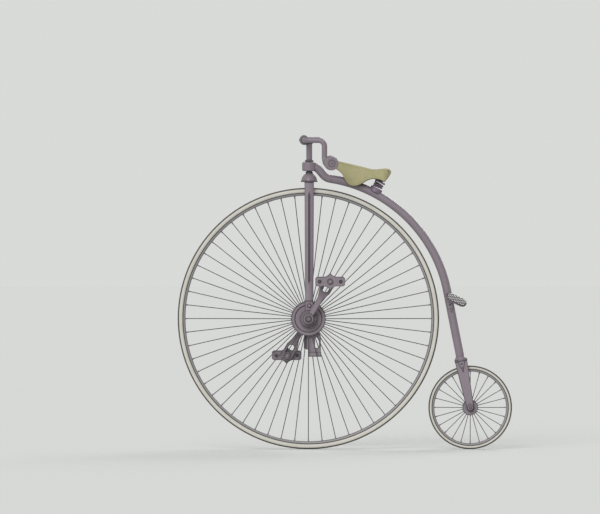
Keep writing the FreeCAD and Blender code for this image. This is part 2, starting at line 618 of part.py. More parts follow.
def forkBlade(side, sign):
    """An oval blade from the crown out to the bearing lug, with a pointed flute down its outer face."""
    name = "fork_blade_" + side
    body = newBody(name)
    sections = []
    for end, height in (("foot", "size.lug_top"), ("top", "at.crown_bottom")):
        sketch = newSketch(body, "%s_%s" % (name, end), "XY_Plane", height)
        addEllipse(sketch, "%s * at.blade_%s_reach" % (sign, end), "size.blade_%s_width / 2" % end,
                   "size.blade_thickness / 2")
        sections.append(sketch)
    loft = body.newObject("PartDesign::AdditiveLoft", name + "_loft")
    loft.Profile = sections[0]
    loft.Sections = sections[1:]
    doc.recompute()
    before = body.Shape.Volume
    lean = "atan((at.blade_foot_reach - at.blade_top_reach) / (at.crown_bottom - size.lug_top))"
    start = "(size.lug_top + size.flute_foot)"
    length = "((at.crown_bottom - size.flute_head - %s) / cos(%s))" % (start, lean)
    clear = "(size.blade_thickness / 2 + size.flute_radius - size.flute_depth)"
    reach = "(at.blade_foot_reach - tan(%s) * size.flute_foot + %s)" % (lean, clear)
    steps = [moved("0", "%s * %s" % (sign, reach), start), turned(X, "%s * %s" % (sign, lean))]
    flute = body.newObject("PartDesign::SubtractiveCylinder", name + "_flute")
    flute.setExpression("Radius", "size.flute_radius")
    flute.setExpression("Height", length)
    place(flute, *steps)
    for end, offset, radii in (("low", "-size.flute_point", ("0", "size.flute_radius")),
                               ("high", length, ("size.flute_radius", "0"))):
        point = body.newObject("PartDesign::SubtractiveCone", "%s_point_%s" % (name, end))
        point.setExpression("Radius1", radii[0])
        point.setExpression("Radius2", radii[1])
        point.setExpression("Height", "size.flute_point")
        place(point, *steps, moved("0", "0", offset))
    doc.recompute()
    if body.Shape.Volume > before - 1:
        raise RuntimeError(name + " flute cuts nothing")
    return place(body, fromSteering("0"))


def bearingCase(side, sign):
    """A round ball-bearing case with the square lug that the blade stands on."""
    name = "bearing_case_" + side
    body = newBody(name)
    lug = newSketch(body, name + "_lug", "XZ_Plane")
    half, middle = "size.lug_width / 2", "-size.steer_back"
    addOutline(lug, [("%s - %s" % (middle, half), "0", None), ("%s + %s" % (middle, half), "0", None),
                     ("%s + %s" % (middle, half), "size.lug_top", None),
                     ("%s - %s" % (middle, half), "size.lug_top", None)])
    pad(body, lug, "size.lug_thickness")
    rounded(body, name + "_lug_edges", "size.lug_round",
            lambda edge: allAt(edge, "Y", "size.lug_thickness / 2", "-size.lug_thickness / 2")
            and not allAt(edge, "Z", "0"))
    ring = newSketch(body, name + "_ring", "XZ_Plane")
    addCircle(ring, "0", "0", "size.case_radius")
    pad(body, ring, "size.case_width")
    rounded(body, name + "_ring_edges", "size.case_round",
            lambda edge: allAt(edge, "Y", "size.case_width / 2", "-size.case_width / 2"))
    bore = newSketch(body, name + "_bore", "XZ_Plane")
    addCircle(bore, "0", "0", "size.axle_radius + size.running_fit")
    pocket(body, bore, "2 * size.case_width")
    return place(body, moved("at.hub_x", "%s * at.blade_foot_reach" % sign, "at.hub_z"))


def bearingBolts():
    """A round head on a washer, on the outer face of each lug."""
    heads = []
    for side, sign in SIDES:
        head, top = "size.bolt_head_radius", "size.bolt_washer + size.bolt_head"
        rows = [("0", "0", None), ("0", "size.bolt_washer_radius", None),
                ("size.bolt_washer", "size.bolt_washer_radius", None), ("size.bolt_washer", head, None),
                ("%s - size.bolt_round" % top, head, "-size.bolt_round"),
                (top, "%s - size.bolt_round" % head, None), (top, "0", None)]
        bolt = turnedPiece("bearing_bolt_" + side, rows)
        out = "%s * (at.blade_foot_reach + size.lug_thickness / 2)" % sign
        heads.append(place(bolt, moved("at.steer_x", out, "at.hub_z + size.bolt_height"),
                           turned(Z, "0" if sign == "1" else "180")))
    return group("bearing_bolts", heads)


def steeringColumn():
    """The column with the collar below the head and the adjusting nut above it."""
    r, foot = "size.column_radius", "size.column_socket"
    nut = "at.head_top - at.crown_top + size.column_socket + size.head_nut_gap"
    top = "at.bar_height - at.crown_top + size.column_socket - size.column_stop"
    collar = foot + " + size.column_collar"
    rows = [("0", "0", None), (r, "0", None), (r, foot, None), ("size.column_collar_radius", foot, None),
            ("size.column_collar_radius", collar, None), (r, collar, None),
            (r, nut, None), ("size.head_nut_radius", nut, None),
            ("size.head_nut_radius", "%s + size.head_nut - size.nut_round" % nut, "size.nut_round"),
            ("size.head_nut_radius - size.nut_round", "%s + size.head_nut" % nut, None),
            (r, "%s + size.head_nut" % nut, None), (r, top, None), ("0", top, None)]
    column = turnedPiece("steering_column", rows, "Z")
    return place(column, fromSteering("at.crown_top - size.column_socket"))


def bentPath(corners, radii):
    """Straight runs between the corners, joined by tangent arcs of the given radii."""
    edges, last = [], corners[0]
    for i, radius in enumerate(radii, 1):
        before = (corners[i] - corners[i - 1]).normalize()
        after = (corners[i + 1] - corners[i]).normalize()
        turn = before.getAngle(after)
        reach = radius * math.tan(turn / 2)
        start, end = corners[i] - before * reach, corners[i] + after * reach
        inward = (after - before).normalize()
        middle = corners[i] + inward * (radius / math.cos(turn / 2) - radius)
        if (start - last).Length > 0.01:
            edges.append(Part.LineSegment(last, start).toShape())
        edges.append(Part.Arc(start, middle, end).toShape())
        last = end
    if (corners[-1] - last).Length > 0.01:
        edges.append(Part.LineSegment(last, corners[-1]).toShape())
    return Part.Wire(edges)


def tubeAlong(name, path, radius):
    """A round bar swept along a path, kept as a feature of its own."""
    edge = path.OrderedEdges[0]
    start = edge.valueAt(edge.FirstParameter)
    aim = edge.tangentAt(edge.FirstParameter)
    section = Part.Face(Part.Wire(Part.Circle(start, aim, radius).toShape()))
    item = doc.addObject("Part::Feature", name)
    item.Shape = path.makePipe(section)
    swept = math.pi * radius ** 2 * path.Length
    if abs(item.Shape.Volume - swept) > swept * 0.01:
        raise RuntimeError(name + " volume is off its section times its length")
    return item


def headNeck():
    """The head that the column turns in, drawn out into the neck that drops onto the backbone's arc."""
    hub = Vector(at.hub_x, 0, at.hub_z)
    angle, slope = math.radians(size.neck_angle), math.radians(size.neck_slope)
    middle = (at.head_bottom + at.head_top) / 2
    end = hub + Vector(-math.cos(angle), 0, math.sin(angle)) * at.arc_radius
    tangent = Vector(-math.sin(angle), 0, -math.cos(angle))
    low = end - tangent * size.neck_run
    rise = hub.z + middle - low.z
    high = low + Vector(rise / math.tan(slope), 0, rise)
    start = Vector(at.steer_x, 0, hub.z + middle)
    turn = slope - (math.pi / 2 - angle)
    path = bentPath([start, high, low, end], [size.neck_bend, size.neck_run / math.tan(turn / 2)])
    neck = tubeAlong("neck", path, size.tube_radius)
    block = primitive("Cylinder", "head_block", Radius="size.head_radius", Height="size.head_height")
    place(block, fromSteering("at.head_bottom"))
    whole = join("head_whole", [block, neck])
    soft = roundedPart("head_rounded", whole, "size.head_round",
                       lambda edge: isCircle(edge, "size.head_radius")
                       and allAt(edge, "Z", "at.hub_z + at.head_bottom", "at.hub_z + at.head_top"))
    bore = primitive("Cylinder", "head_bore", Radius="size.column_radius + size.running_fit",
                     Height="3 * size.head_height")
    place(bore, fromSteering("at.head_bottom - size.head_height"))
    return cut("head_neck", soft, bore)


def handlebar():
    """From the lug out to each side, back, down and out again to the grips."""
    top = Vector(at.steer_x + size.lug_forward, 0, at.hub_z + at.bar_height)
    half = [top + Vector(0, size.bar_half, 0)]
    half.append(half[0] + Vector(-size.bar_back, size.bar_splay, 0))
    half.append(half[1] + Vector(0, 0, -size.bar_drop))
    slant = math.radians(size.grip_slant)
    run = (size.grip_tail_reach - half[2].y) / math.cos(slant) + size.grip_length - size.grip_cap
    half.append(half[2] + Vector(-math.sin(slant), math.cos(slant), 0) * run)
    corners = [Vector(v.x, -v.y, v.z) for v in reversed(half)] + half
    path = bentPath(corners, [size.bar_bend] * (len(corners) - 2))
    return tubeAlong("handlebar", path, size.bar_radius)


def handlebarLug():
    """A ball round the bar on a short socket over the column's end."""
    ball = primitive("Sphere", "lug_ball", Radius="size.lug_ball_radius")
    place(ball, moved("at.steer_x + size.lug_forward", "0", "at.hub_z + at.bar_height"))
    length = "size.lug_socket_length"
    socket = primitive("Cylinder", "lug_socket", Radius="size.lug_socket_radius", Height=length)
    place(socket, fromSteering("at.bar_height + size.lug_socket_rise - size.lug_socket_length"))
    whole = join("lug_whole", [ball, socket])
    column = primitive("Cylinder", "lug_column_bore", Radius="size.column_radius", Height=length)
    place(column, fromSteering("at.bar_height - size.column_stop - size.lug_socket_length"))
    bar = acrossCylinder("lug_bar_bore", "size.bar_radius", "4 * size.lug_ball_radius",
                         "at.steer_x + size.lug_forward", "-2 * size.lug_ball_radius",
                         "at.hub_z + at.bar_height")
    return cut("handlebar_lug", whole, join("lug_bores", [column, bar]))


def grip(side, sign):
    """A pear-shaped handle over the end of the bar, with a ring and a button on its end."""
    end, big, ring = "size.grip_length", "size.grip_radius", "size.grip_ring_radius"
    soft, inner, deep = "size.grip_round", "size.grip_ring_half", "size.grip_ring_depth"
    body = turnedPiece("grip_" + side, [
        ("0", "size.bar_radius", None), ("0", "size.grip_neck_radius", "size.grip_flare"),
        ("%s - size.grip_bulb" % end, "%s - %s" % (big, soft), "-size.grip_crown"),
        ("%s - size.grip_shoulder" % end, big, None), ("%s - %s" % (end, soft), big, "-" + soft),
        (end, "%s - %s" % (big, soft), None), (end, "%s + %s" % (ring, inner), None),
        ("%s - %s" % (end, deep), ring, None), (end, "%s - %s" % (ring, inner), None),
        (end, "size.grip_button_radius", None),
        (end + " + size.grip_button", "size.grip_button_radius", None),
        (end + " + size.grip_button", "0", None), ("%s - size.grip_cap" % end, "0", None),
        ("%s - size.grip_cap" % end, "size.bar_radius", None)])
    back = "(size.grip_tail_reach - size.bar_half - size.bar_splay) * tan(size.grip_slant)"
    x = "at.steer_x + size.lug_forward - size.bar_back - %s" % back
    height = "at.hub_z + at.bar_height - size.bar_drop"
    return place(body, moved(x, "%s * size.grip_tail_reach" % sign, height),
                 turned(Z, "size.grip_slant" if sign == "1" else "180 - size.grip_slant"))


# ---------------------------------------------------------------- backbone and rear fork

def backboneTube():
    hub = Vector(at.hub_x, 0, at.hub_z)
    lean, start = math.radians(at.lean), math.radians(size.neck_angle)
    arc = [hub + Vector(-math.cos(a), 0, math.sin(a)) * at.arc_radius
           for a in (start, (start + lean) / 2, lean)]
    up = Vector(math.sin(lean), 0, math.cos(lean))
    foot = Vector(at.rear_x, 0, at.rear_z) + up * at.socket_top
    path = Part.Wire([Part.Arc(*arc).toShape(), Part.LineSegment(arc[2], foot).toShape()])
    return tubeAlong("backbone_tube", path, size.tube_radius)


def onRear(piece, height="0"):
    """Place a piece modelled with +Z up the straight run, at a height above the rear axle."""
    return place(piece, moved(*REAR), turned(Y, "at.lean"), moved("0", "0", height))


def rearForkSocket():
    """A flared collar on a square shoulder that the two blades hang from."""
    body = newBody("rear_fork_socket")
    block = newSketch(body, "shoulder_outline", "XY_Plane", "-size.collar_length - size.shoulder")
    half = "at.shoulder_half"
    addOutline(block, [("-" + half, "-" + half, None), (half, "-" + half, None), (half, half, None),
                       ("-" + half, half, None)])
    pad(body, block, "size.shoulder", middle=False)
    rounded(body, "shoulder_edges", "size.shoulder_round", isUpright)
    profile = newSketch(body, "collar_profile", "XZ_Plane")
    addOutline(profile, [
        ("0", "-size.collar_length", None), ("size.collar_radius", "-size.collar_length", None),
        ("size.tube_radius + size.collar_lip", "0", None), ("0", "0", None)])
    revolve(body, profile, "Z_Axis")
    return onRear(body, "at.socket_top")


def rearForkBlade(side, sign):
    """A flat blade that leans out past the tyre, upright at the axle, with a pointed tang at its top."""
    name = "rear_fork_" + side
    top, thick, foot = "at.blade_top", "size.rear_blade_thickness", "size.rear_foot_length"
    low_in, high_in = "at.rear_foot_inside", "at.rear_top_inside"
    wide, radius = "size.rear_blade_top_half", "size.rear_blade_foot_radius"
    signed = lambda rows: [("%s * (%s)" % (sign, y), z, None) for y, z in rows]
    plain = crossed(name + "_plain", signed([
        (low_in, "-" + foot), ("%s + %s" % (low_in, thick), "-" + foot), ("%s + %s" % (low_in, thick), foot),
        ("%s + %s" % (high_in, thick), top), (high_in, top), (low_in, foot)]),
        [("-" + radius, "0", ROUND), (radius, "0", None), (wide, top, None), ("-" + wide, top, None)],
        "8 * " + foot)
    slope = "(%s - %s) / (%s - %s)" % (low_in, high_in, top, foot)
    tang_low = "%s + %s + size.tang_length * %s" % (high_in, thick, slope)
    tang_high = "%s + %s" % (high_in, thick)
    point = "%s - size.tang_length" % top
    tang = crossed(name + "_tang", signed([
        (tang_low + " - size.tang", point), (tang_low + " + size.tang", point),
        (tang_high + " + size.tang", top), (tang_high + " - size.tang", top)]),
        [("-size.tang_half", top, None), ("0", point, None), ("size.tang_half", top, None)], "8 * " + foot)
    hole = primitive("Cylinder", name + "_hole", Radius="size.rear_axle_radius",
                     Height="16 * size.rear_foot_length")
    place(hole, moved("0", "-8 * size.rear_foot_length", "0"), turned(X, "-90"))
    return onRear(cut(name, join(name + "_whole", [plain, tang]), hole))


def rearAxle():
    """A shaft that steps down to the nuts' threads and again to the free ends."""
    full, thread = "at.rear_foot_outside", "at.rear_foot_outside + size.rear_nut"
    left = [(full, "size.rear_axle_radius", None), (full, "size.rear_thread_radius", None),
            (thread, "size.rear_thread_radius", None), (thread, "size.rear_stub_radius", None),
            (thread + " + size.rear_stub", "size.rear_stub_radius", None),
            (thread + " + size.rear_stub", "0", None)]
    rows = left + [("-(%s)" % y, r, None) for y, r, _ in reversed(left)]
    return place(turnedPiece("rear_axle", rows), moved(*REAR))


def rearAxleNuts():
    """Hexagon nuts with their outer corners turned off."""
    nuts = []
    for side, sign in SIDES:
        prism = primitive("Prism", "rear_nut_hexagon_" + side, Circumradius="size.rear_nut_radius",
                          Height="size.rear_nut")
        prism.Polygon = 6
        r, end, soft = "size.rear_nut_radius", "size.rear_nut", "size.nut_round"
        turning = turnedPiece("rear_nut_turned_" + side, [
            ("size.rear_thread_radius", "0", None), (r, "0", None), (r, "%s - %s" % (end, soft), None),
            ("%s - %s" % (r, soft), end, None), ("size.rear_thread_radius", end, None)], "Z")
        nut = shared("rear_nut_" + side, [prism, turning])
        nuts.append(place(nut, moved("at.rear_x", "%s * at.rear_foot_outside" % sign, "at.rear_z"),
                          turned(X, "-90 * %s" % sign)))
    return group("rear_axle_nuts", nuts)


def rearHub():
    flange_in = "size.rear_flange_middle - size.rear_flange / 2"
    flange_out = "size.rear_flange_middle + size.rear_flange / 2"
    end, barrel = "size.rear_hub_half", "size.rear_barrel_radius"
    left = [(flange_in, barrel, None), (flange_in, "size.rear_flange_radius", None),
            (flange_out, "size.rear_flange_radius", None), (flange_out, barrel, None),
            (end, "%s - size.rear_hub_taper" % barrel, None),
            (end, "size.rear_axle_radius + size.running_fit", None)]
    rows = left + [("-(%s)" % y, r, None) for y, r, _ in reversed(left)]
    return place(turnedPiece("rear_hub", rows), moved(*REAR))


# ---------------------------------------------------------------- saddle

# The seat's top line from the nose back to the tail, and the leather's lower edge from the tail
# forward to the nose: (x, z) from the seat point.
SEAT_LINE = [(196, 28), (188, 44), (170, 43), (32, 11), (-8, -3), (-36, 1), (-63, 7), (-82, -6)]
SKIRT_LINE = [(-76, -23), (-53, -50), (-2, -42), (22, -45), (39, -54), (66, -71), (100, -79), (121, -74),
              (138, -54), (152, -23), (169, -3), (186, 10)]
# The leather's left half from above: (x, share of the half width).
SEAT_PLAN = [(-84, 0.62), (-66, 0.93), (-40, 1.0), (-8, 0.86), (30, 0.6), (80, 0.43), (150, 0.33),
             (184, 0.26), (196, 0.14)]


# The frame strip under the leather, from its front end back: (x, drop below the leather's inner face).
STRIP_LINE = [(176, 0), (170, 0), (32, 0), (-8, 3), (-36, 6), (-60, 9)]


def lineAt(line, x):
    """The second value of a line of pairs at x."""
    for (x1, z1), (x2, z2) in zip(line, line[1:]):
        if x2 <= x <= x1 and x1 > x2:
            return z1 + (x - x1) * (z2 - z1) / (x2 - x1)
    raise RuntimeError("the line does not reach x = %g" % x)


def stripTop(x):
    """The height of the frame strip's upper face at x."""
    return "%g - size.leather - size.soft_gap" % (lineAt(SEAT_LINE, x) - lineAt(STRIP_LINE, x))


def saddleBlank(name, inset, skirt_drop):
    """The side and plan outlines, each drawn out and shared, moved in by the inset."""
    side = newBody(name + "_side")
    sketch = newSketch(side, name + "_side_outline", "XZ_Plane")
    rows = [(str(x), "%g - %s" % (z, inset), None) for x, z in SEAT_LINE]
    rows += [(str(x), "%g - %s" % (z, skirt_drop), None) for x, z in SKIRT_LINE]
    addOutline(sketch, rows)
    pad(side, sketch, "2 * size.saddle_width")
    plan = newBody(name + "_plan")
    sketch = newSketch(plan, name + "_plan_outline", "XY_Plane", "-size.saddle_width")
    half = [[str(x), "size.saddle_width / 2 * %g - %s" % (share, inset)] for x, share in SEAT_PLAN]
    half[0][0] += " + " + inset
    half[-1][0] += " - " + inset
    addOutline(sketch, [(x, y, None) for x, y in half] + [(x, "-(%s)" % y, None) for x, y in reversed(half)])
    pad(plan, sketch, "2 * size.saddle_width", middle=False)
    return shared(name, [side, plan])


def saddleLeather():
    outer = saddleBlank("leather_outer", "0", "0")
    inner = saddleBlank("leather_inner", "size.leather", "size.skirt_open")
    return cut("saddle_leather", outer, inner)


def onSpring(piece, height):
    """Place a piece on the backbone's arc at the spring, +Z outwards, at a height above the tube's top."""
    return place(piece, moved(*FRONT), turned(Y, "at.spring_angle - 90"),
                 moved("0", "0", "at.arc_radius + size.tube_radius + %s" % height))


def arcTube(name):
    """The whole ring that the backbone's arc is part of, for bedding pieces on it."""
    ring = primitive("Torus", name, Radius1="at.arc_radius", Radius2="size.tube_radius")
    return place(ring, moved(*FRONT), turned(X, "90"))


def saddleFrame():
    """The strip under the leather, with the web and plate that stand on the rear spring."""
    body = newBody("saddle_strip")
    sketch = newSketch(body, "strip_outline", "XZ_Plane")
    rows = [(str(x), stripTop(x), None) for x, _ in STRIP_LINE]
    rows += [(x, z + " - size.strip", None) for x, z, _ in reversed(rows)]
    addOutline(sketch, rows)
    pad(body, sketch, "2 * size.strip_half")
    web = newSketch(body, "spring_web", "XZ_Plane")
    tops = [("-" + x, stripTop(-value(x)) + " - size.strip / 2", None)
            for x in ("size.web_rear", "size.web_front")]
    feet = [("-size.spring_back %s size.web_foot_half * sin(at.spring_angle)" % way,
             "at.plate_height %s size.web_foot_half * cos(at.spring_angle)" % way, None) for way in "-+"]
    addOutline(web, [tops[0]] + feet + [tops[1]])
    pad(body, web, "size.web_thickness")
    r, h, soft = "size.spring_plate_radius", "size.spring_plate", "size.plate_round"
    plate = turnedPiece("spring_top_plate", [
        ("0", "0", None), ("%s - %s" % (r, soft), "0", soft), (r, soft, None),
        (r, "%s - %s" % (h, soft), soft), ("%s - %s" % (r, soft), h, None), ("0", h, None)], "Z")
    return join("saddle_frame", [body, onSpring(plate, "size.spring_seat + size.spring_height")])


def springSeat():
    """The pad that beds on the tube under the spring."""
    r, h, soft = "size.spring_seat_radius", "size.spring_seat + size.spring_seat_sink", "size.plate_round"
    disc = turnedPiece("spring_seat_disc", [
        ("0", "0", None), (r, "0", None), (r, "%s - %s" % (h, soft), soft), ("%s - %s" % (r, soft), h, None),
        ("0", h, None)], "Z")
    return cut("spring_seat", onSpring(disc, "-size.spring_seat_sink"), arcTube("spring_seat_tube"))


def saddleSpring():
    """A short coil of round wire between its seat and its plate."""
    turns, radius, wire = size.spring_turns, size.spring_radius, size.spring_wire
    rise = size.spring_height - 2 * wire - 2 * size.soft_gap
    helix = Part.makeHelix(rise / turns, rise, radius)
    start = Vector(radius, 0, 0)
    aim = Vector(0, 2 * math.pi * radius, rise / turns)
    section = Part.Wire(Part.Circle(start, aim, wire).toShape())
    coil = doc.addObject("Part::Feature", "saddle_spring")
    coil.Shape = Part.Wire(helix.Edges).makePipeShell([section], True, True)
    return onSpring(coil, "size.spring_seat + size.soft_gap + size.spring_wire")


def saddleClip():
    """The pillar under the nose, bedded on the tube."""
    body = newBody("clip_post")
    sketch = newSketch(body, "clip_outline", "XZ_Plane")
    foot = "at.hub_z + sqrt(at.arc_radius ^ 2 - (size.seat_back - size.clip_at) ^ 2)"
    ends = ["size.clip_at %s size.clip_length / 2" % way for way in "-+"]
    rows = [(x, foot, None) for x in ends]
    rows += [(x, stripTop(value(x)) + " - size.strip", None) for x in reversed(ends)]
    addOutline(sketch, rows)
    pad(body, sketch, "2 * size.clip_half")
    rounded(body, "clip_edges", "size.clip_round", isUpright)
    return cut("clip_bedded", body, arcTube("clip_tube"))


# ---------------------------------------------------------------- step

def ovalPad(body, name, inset, start, height):
    """The tread's oval, its ends half circles, moved in by an inset."""
    sketch = newSketch(body, name, "XY_Plane", start)
    reach, side = "(size.step_length - size.step_width) / 2", "(size.step_width / 2 - %s)" % inset
    addOutline(sketch, [("-" + reach, "-" + side, None), (reach, "-" + side, ROUND), (reach, side, None),
                        ("-" + reach, side, ROUND)])
    pad(body, sketch, height, middle=False)


def stepTeeth():
    """The raised platform, cut into diamonds by two rows of V grooves that cross."""
    platform = newBody("step_platform")
    ovalPad(platform, "step_platform_outline", "size.step_rim", "size.step_plate", "size.step_teeth")
    grooves = []
    for way, name in (("", "fore"), ("-", "aft")):
        body = newBody("step_grooves_" + name)
        body.AllowCompound = True
        sketch = newSketch(body, "step_groove_" + name, "XZ_Plane")
        first, top = "-(size.tooth_rows - 1) / 2 * size.tooth_pitch", "size.step_plate + size.step_teeth"
        addOutline(sketch, [("%s - size.tooth_groove / 2" % first, top, None),
                            (first, "%s - size.tooth_depth" % top, None),
                            ("%s + size.tooth_groove / 2" % first, top, None)])
        pad(body, sketch, "2 * size.step_length")
        pattern = body.newObject("PartDesign::LinearPattern", "step_grooves_%s_row" % name)
        pattern.Originals = [body.Tip]
        pattern.Direction = (plane(body, "X_Axis"), [""])
        pattern.setExpression("Length", "(size.tooth_rows - 1) * size.tooth_pitch")
        pattern.setExpression("Occurrences", "size.tooth_rows")
        body.Tip = pattern
        grooves.append(place(body, turned(Z, way + "size.tooth_angle")))
    return cut("step_teeth", platform, join("step_grooves", grooves))


def step():
    """A cast tread on a pointed pad that lies along the tube's left face."""
    foot = newBody("step_pad")
    sketch = newSketch(foot, "step_pad_outline", "XZ_Plane", "-size.step_pad_inside")
    half = "size.step_pad_half"
    addOutline(sketch, [("-" + half, "-size.step_pad_down", None), ("0", "-size.step_pad_point", None),
                        (half, "-size.step_pad_down", None), (half, "size.step_pad_up", None),
                        ("-" + half, "size.step_pad_up", None)])
    pad(foot, sketch, "size.step_pad_thickness", middle=False, reverse=True)
    rounded(foot, "step_pad_edges", "size.step_pad_round", lambda edge: allAt(edge, "Y", "at.step_outside"))
    onRear(foot, "at.step_at")
    plate = newBody("step_plate")
    ovalPad(plate, "step_plate_outline", "0", "0", "size.step_plate")
    rounded(plate, "step_plate_edges", "size.step_round",
            lambda edge: allAt(edge, "Z", "0", "size.step_plate"))
    tread = join("step_tread", [plate, stepTeeth()])
    out = "at.step_outside - size.step_sink + size.step_width / 2 * cos(size.step_tilt)"
    place(tread, moved(*REAR), turned(Y, "at.lean"),
          moved("-size.step_behind", out, "at.step_at - size.step_below"),
          turned(Y, "-at.lean - size.step_slope"), turned(X, "-size.step_tilt"))
    tube = primitive("Cylinder", "step_tube", Radius="size.tube_radius", Height="2 * size.step_length")
    onRear(tube, "at.step_at - size.step_length")
    return cut("step", join("step_whole", [foot, tread]), tube)


# ---------------------------------------------------------------- hub lamp

def lampBody():
    """A box lantern on its oil tank, with a handle behind and an open hood in front."""
    body = newBody("lamp_body")
    side = newSketch(body, "lamp_side", "XZ_Plane")
    rear, top, low = "-size.lamp_length", "-size.lamp_top", "-size.lamp_bottom"
    addOutline(side, [("0", low, None), ("0", top, None), ("-size.handle_start", top, "size.lamp_back_bow"),
                      (rear, "-size.lamp_shoulder", None), (rear, low, None)])
    pad(body, side, "2 * size.lamp_half_width")
    rounded(body, "lamp_edges", "size.lamp_round", isUpright)
    tank = newSketch(body, "lamp_tank", "XZ_Plane")
    addOutline(tank, [(rear + " - size.tank_lip", low, None), ("size.tank_lip", low, None),
                      ("size.tank_lip", low + " + size.tank_height", None),
                      (rear + " - size.tank_lip", low + " + size.tank_height", None)])
    pad(body, tank, "2 * (size.lamp_half_width + size.tank_lip)")
    hood = newSketch(body, "lamp_hood", "XZ_Plane")
    addOutline(hood, [("-size.hood_sink", "-size.hood_bottom", None),
                      ("size.hood_length", "-size.hood_bottom + size.hood_rise", None),
                      ("size.hood_length", "-size.hood_top", None),
                      ("-size.hood_sink", "-size.hood_top + size.hood_rise", None)])
    pad(body, hood, "2 * (size.lamp_half_width - size.hood_inset)")
    gap = newSketch(body, "lamp_handle_gap", "XZ_Plane")
    addOutline(gap, [("-size.handle_end", "-size.handle_bottom", None),
                     ("-size.handle_start", "-size.handle_bottom", None),
                     ("-size.handle_start", "-size.handle_shoulder", None),
                     ("-size.handle_peak", "-size.handle_top", None),
                     ("-size.handle_end", "-size.handle_shoulder", "size.handle_bow")])
    pocket(body, gap, "4 * size.lamp_half_width")
    mouth = newSketch(body, "lamp_mouth", "YZ_Plane", "size.hood_length")
    addOutline(mouth, [("-at.mouth_half", "at.mouth_low", None), ("at.mouth_half", "at.mouth_low", None),
                       ("at.mouth_half", "at.mouth_high", None), ("-at.mouth_half", "at.mouth_high", None)])
    pocket(body, mouth, "size.hood_depth", middle=False)
    return place(body, moved(*FRONT))


def lampLens():
    box = primitive("Box", "lamp_lens", Length="size.lens_thickness", Width="2 * at.mouth_half",
                    Height="at.mouth_high - at.mouth_low")
    return place(box, moved(*FRONT),
                 moved("size.hood_length - size.hood_depth", "-at.mouth_half", "at.mouth_low"))


def lampHanger():
    """A collar round the hub barrel with the strap that the lamp hangs by."""
    ring = acrossCylinder("hanger_ring", "size.barrel_radius + size.hanger_wall", "2 * size.hanger_half",
                          "0", "-size.hanger_half", "0")
    strap = primitive("Box", "hanger_strap", Length="size.hanger_length", Width="2 * size.hanger_half",
                      Height="size.lamp_top")
    place(strap, moved("-size.hanger_length", "-size.hanger_half", "-size.lamp_top"))
    bore = acrossCylinder("hanger_bore", "size.barrel_radius + size.running_fit", "4 * size.hanger_half",
                          "0", "-2 * size.hanger_half", "0")
    return place(cut("lamp_hanger", join("hanger_whole", [ring, strap]), bore), moved(*FRONT))


NODES = {}


def node(name, item):
    """Name a finished piece; its label names its file."""
    item.Label = name
    NODES[name] = item


for wheel, where in (("front", FRONT), ("rear", REAR)):
    middle, section = "at.%s_tyre_middle" % wheel, "size.%s_tyre" % wheel
    node(wheel + "_tyre", tyre(wheel + "_tyre", middle, section, where))
    node(wheel + "_rim", rim(wheel + "_rim", middle, section, "size.%s_rim_depth" % wheel,
                             "size.%s_rim_half" % wheel, where))
node("front_spokes", spokes("front", "(size.flange_inside + size.flange_thickness / 2)",
                            "(size.flange_radius + size.spoke_gap)", FRONT))
node("rear_spokes", spokes("rear", "size.rear_flange_middle", "(size.rear_flange_radius + size.spoke_gap)",
                           REAR))
node("front_hub", frontHub())
node("front_axle", frontAxle())
node("crank_nuts", crankNuts())
node("rear_hub", rearHub())
for (side, sign), turn in zip(SIDES, ("-size.crank_turn", "180 - size.crank_turn")):
    node("crank_" + side, crank(side, sign, turn))
    node("pedal_pin_" + side, pedalPin(side, sign, turn))
    node("pedal_cage_" + side, pedalCage(side, sign, turn))
    node("pedal_rubbers_" + side, pedalRubbers(side, sign, turn))
    node("fork_blade_" + side, forkBlade(side, sign))
    node("bearing_case_" + side, bearingCase(side, sign))
    node("grip_" + side, grip(side, sign))
    node("rear_fork_" + side, rearForkBlade(side, sign))
node("bearing_bolts", bearingBolts())
node("fork_crown", forkCrown())
node("steering_column", steeringColumn())
node("head_neck", headNeck())
node("handlebar", handlebar())
node("handlebar_lug", handlebarLug())
node("backbone_tube", backboneTube())
node("rear_fork_socket", rearForkSocket())
node("rear_axle", rearAxle())
node("rear_axle_nuts", rearAxleNuts())
node("saddle_leather", saddleLeather())
node("saddle_frame", saddleFrame())
node("saddle_clip", saddleClip())
node("saddle_spring", saddleSpring())
node("spring_seat", springSeat())
node("step", step())
node("lamp_body", lampBody())
node("lamp_lens", lampLens())
node("lamp_hanger", lampHanger())

doc.recompute()
failed = [item.Name for item in doc.Objects if "Invalid" in item.State or "Error" in item.State]
if failed:
    raise RuntimeError("these failed: " + ", ".join(failed))
os.makedirs("parts", exist_ok=True)
for name, item in NODES.items():
    shape = item.Shape
    if shape.isNull() or not shape.isValid():
        raise RuntimeError(name + " has no valid shape")
    shape.exportStep("parts/%s.step" % name)
    print("%-22s %2d solids  %10.0f mm3" % (name, len(shape.Solids), shape.Volume))
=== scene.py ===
import math
import bpy
import bmesh
from mathutils import Matrix, Vector
from mathutils.bvhtree import BVHTree


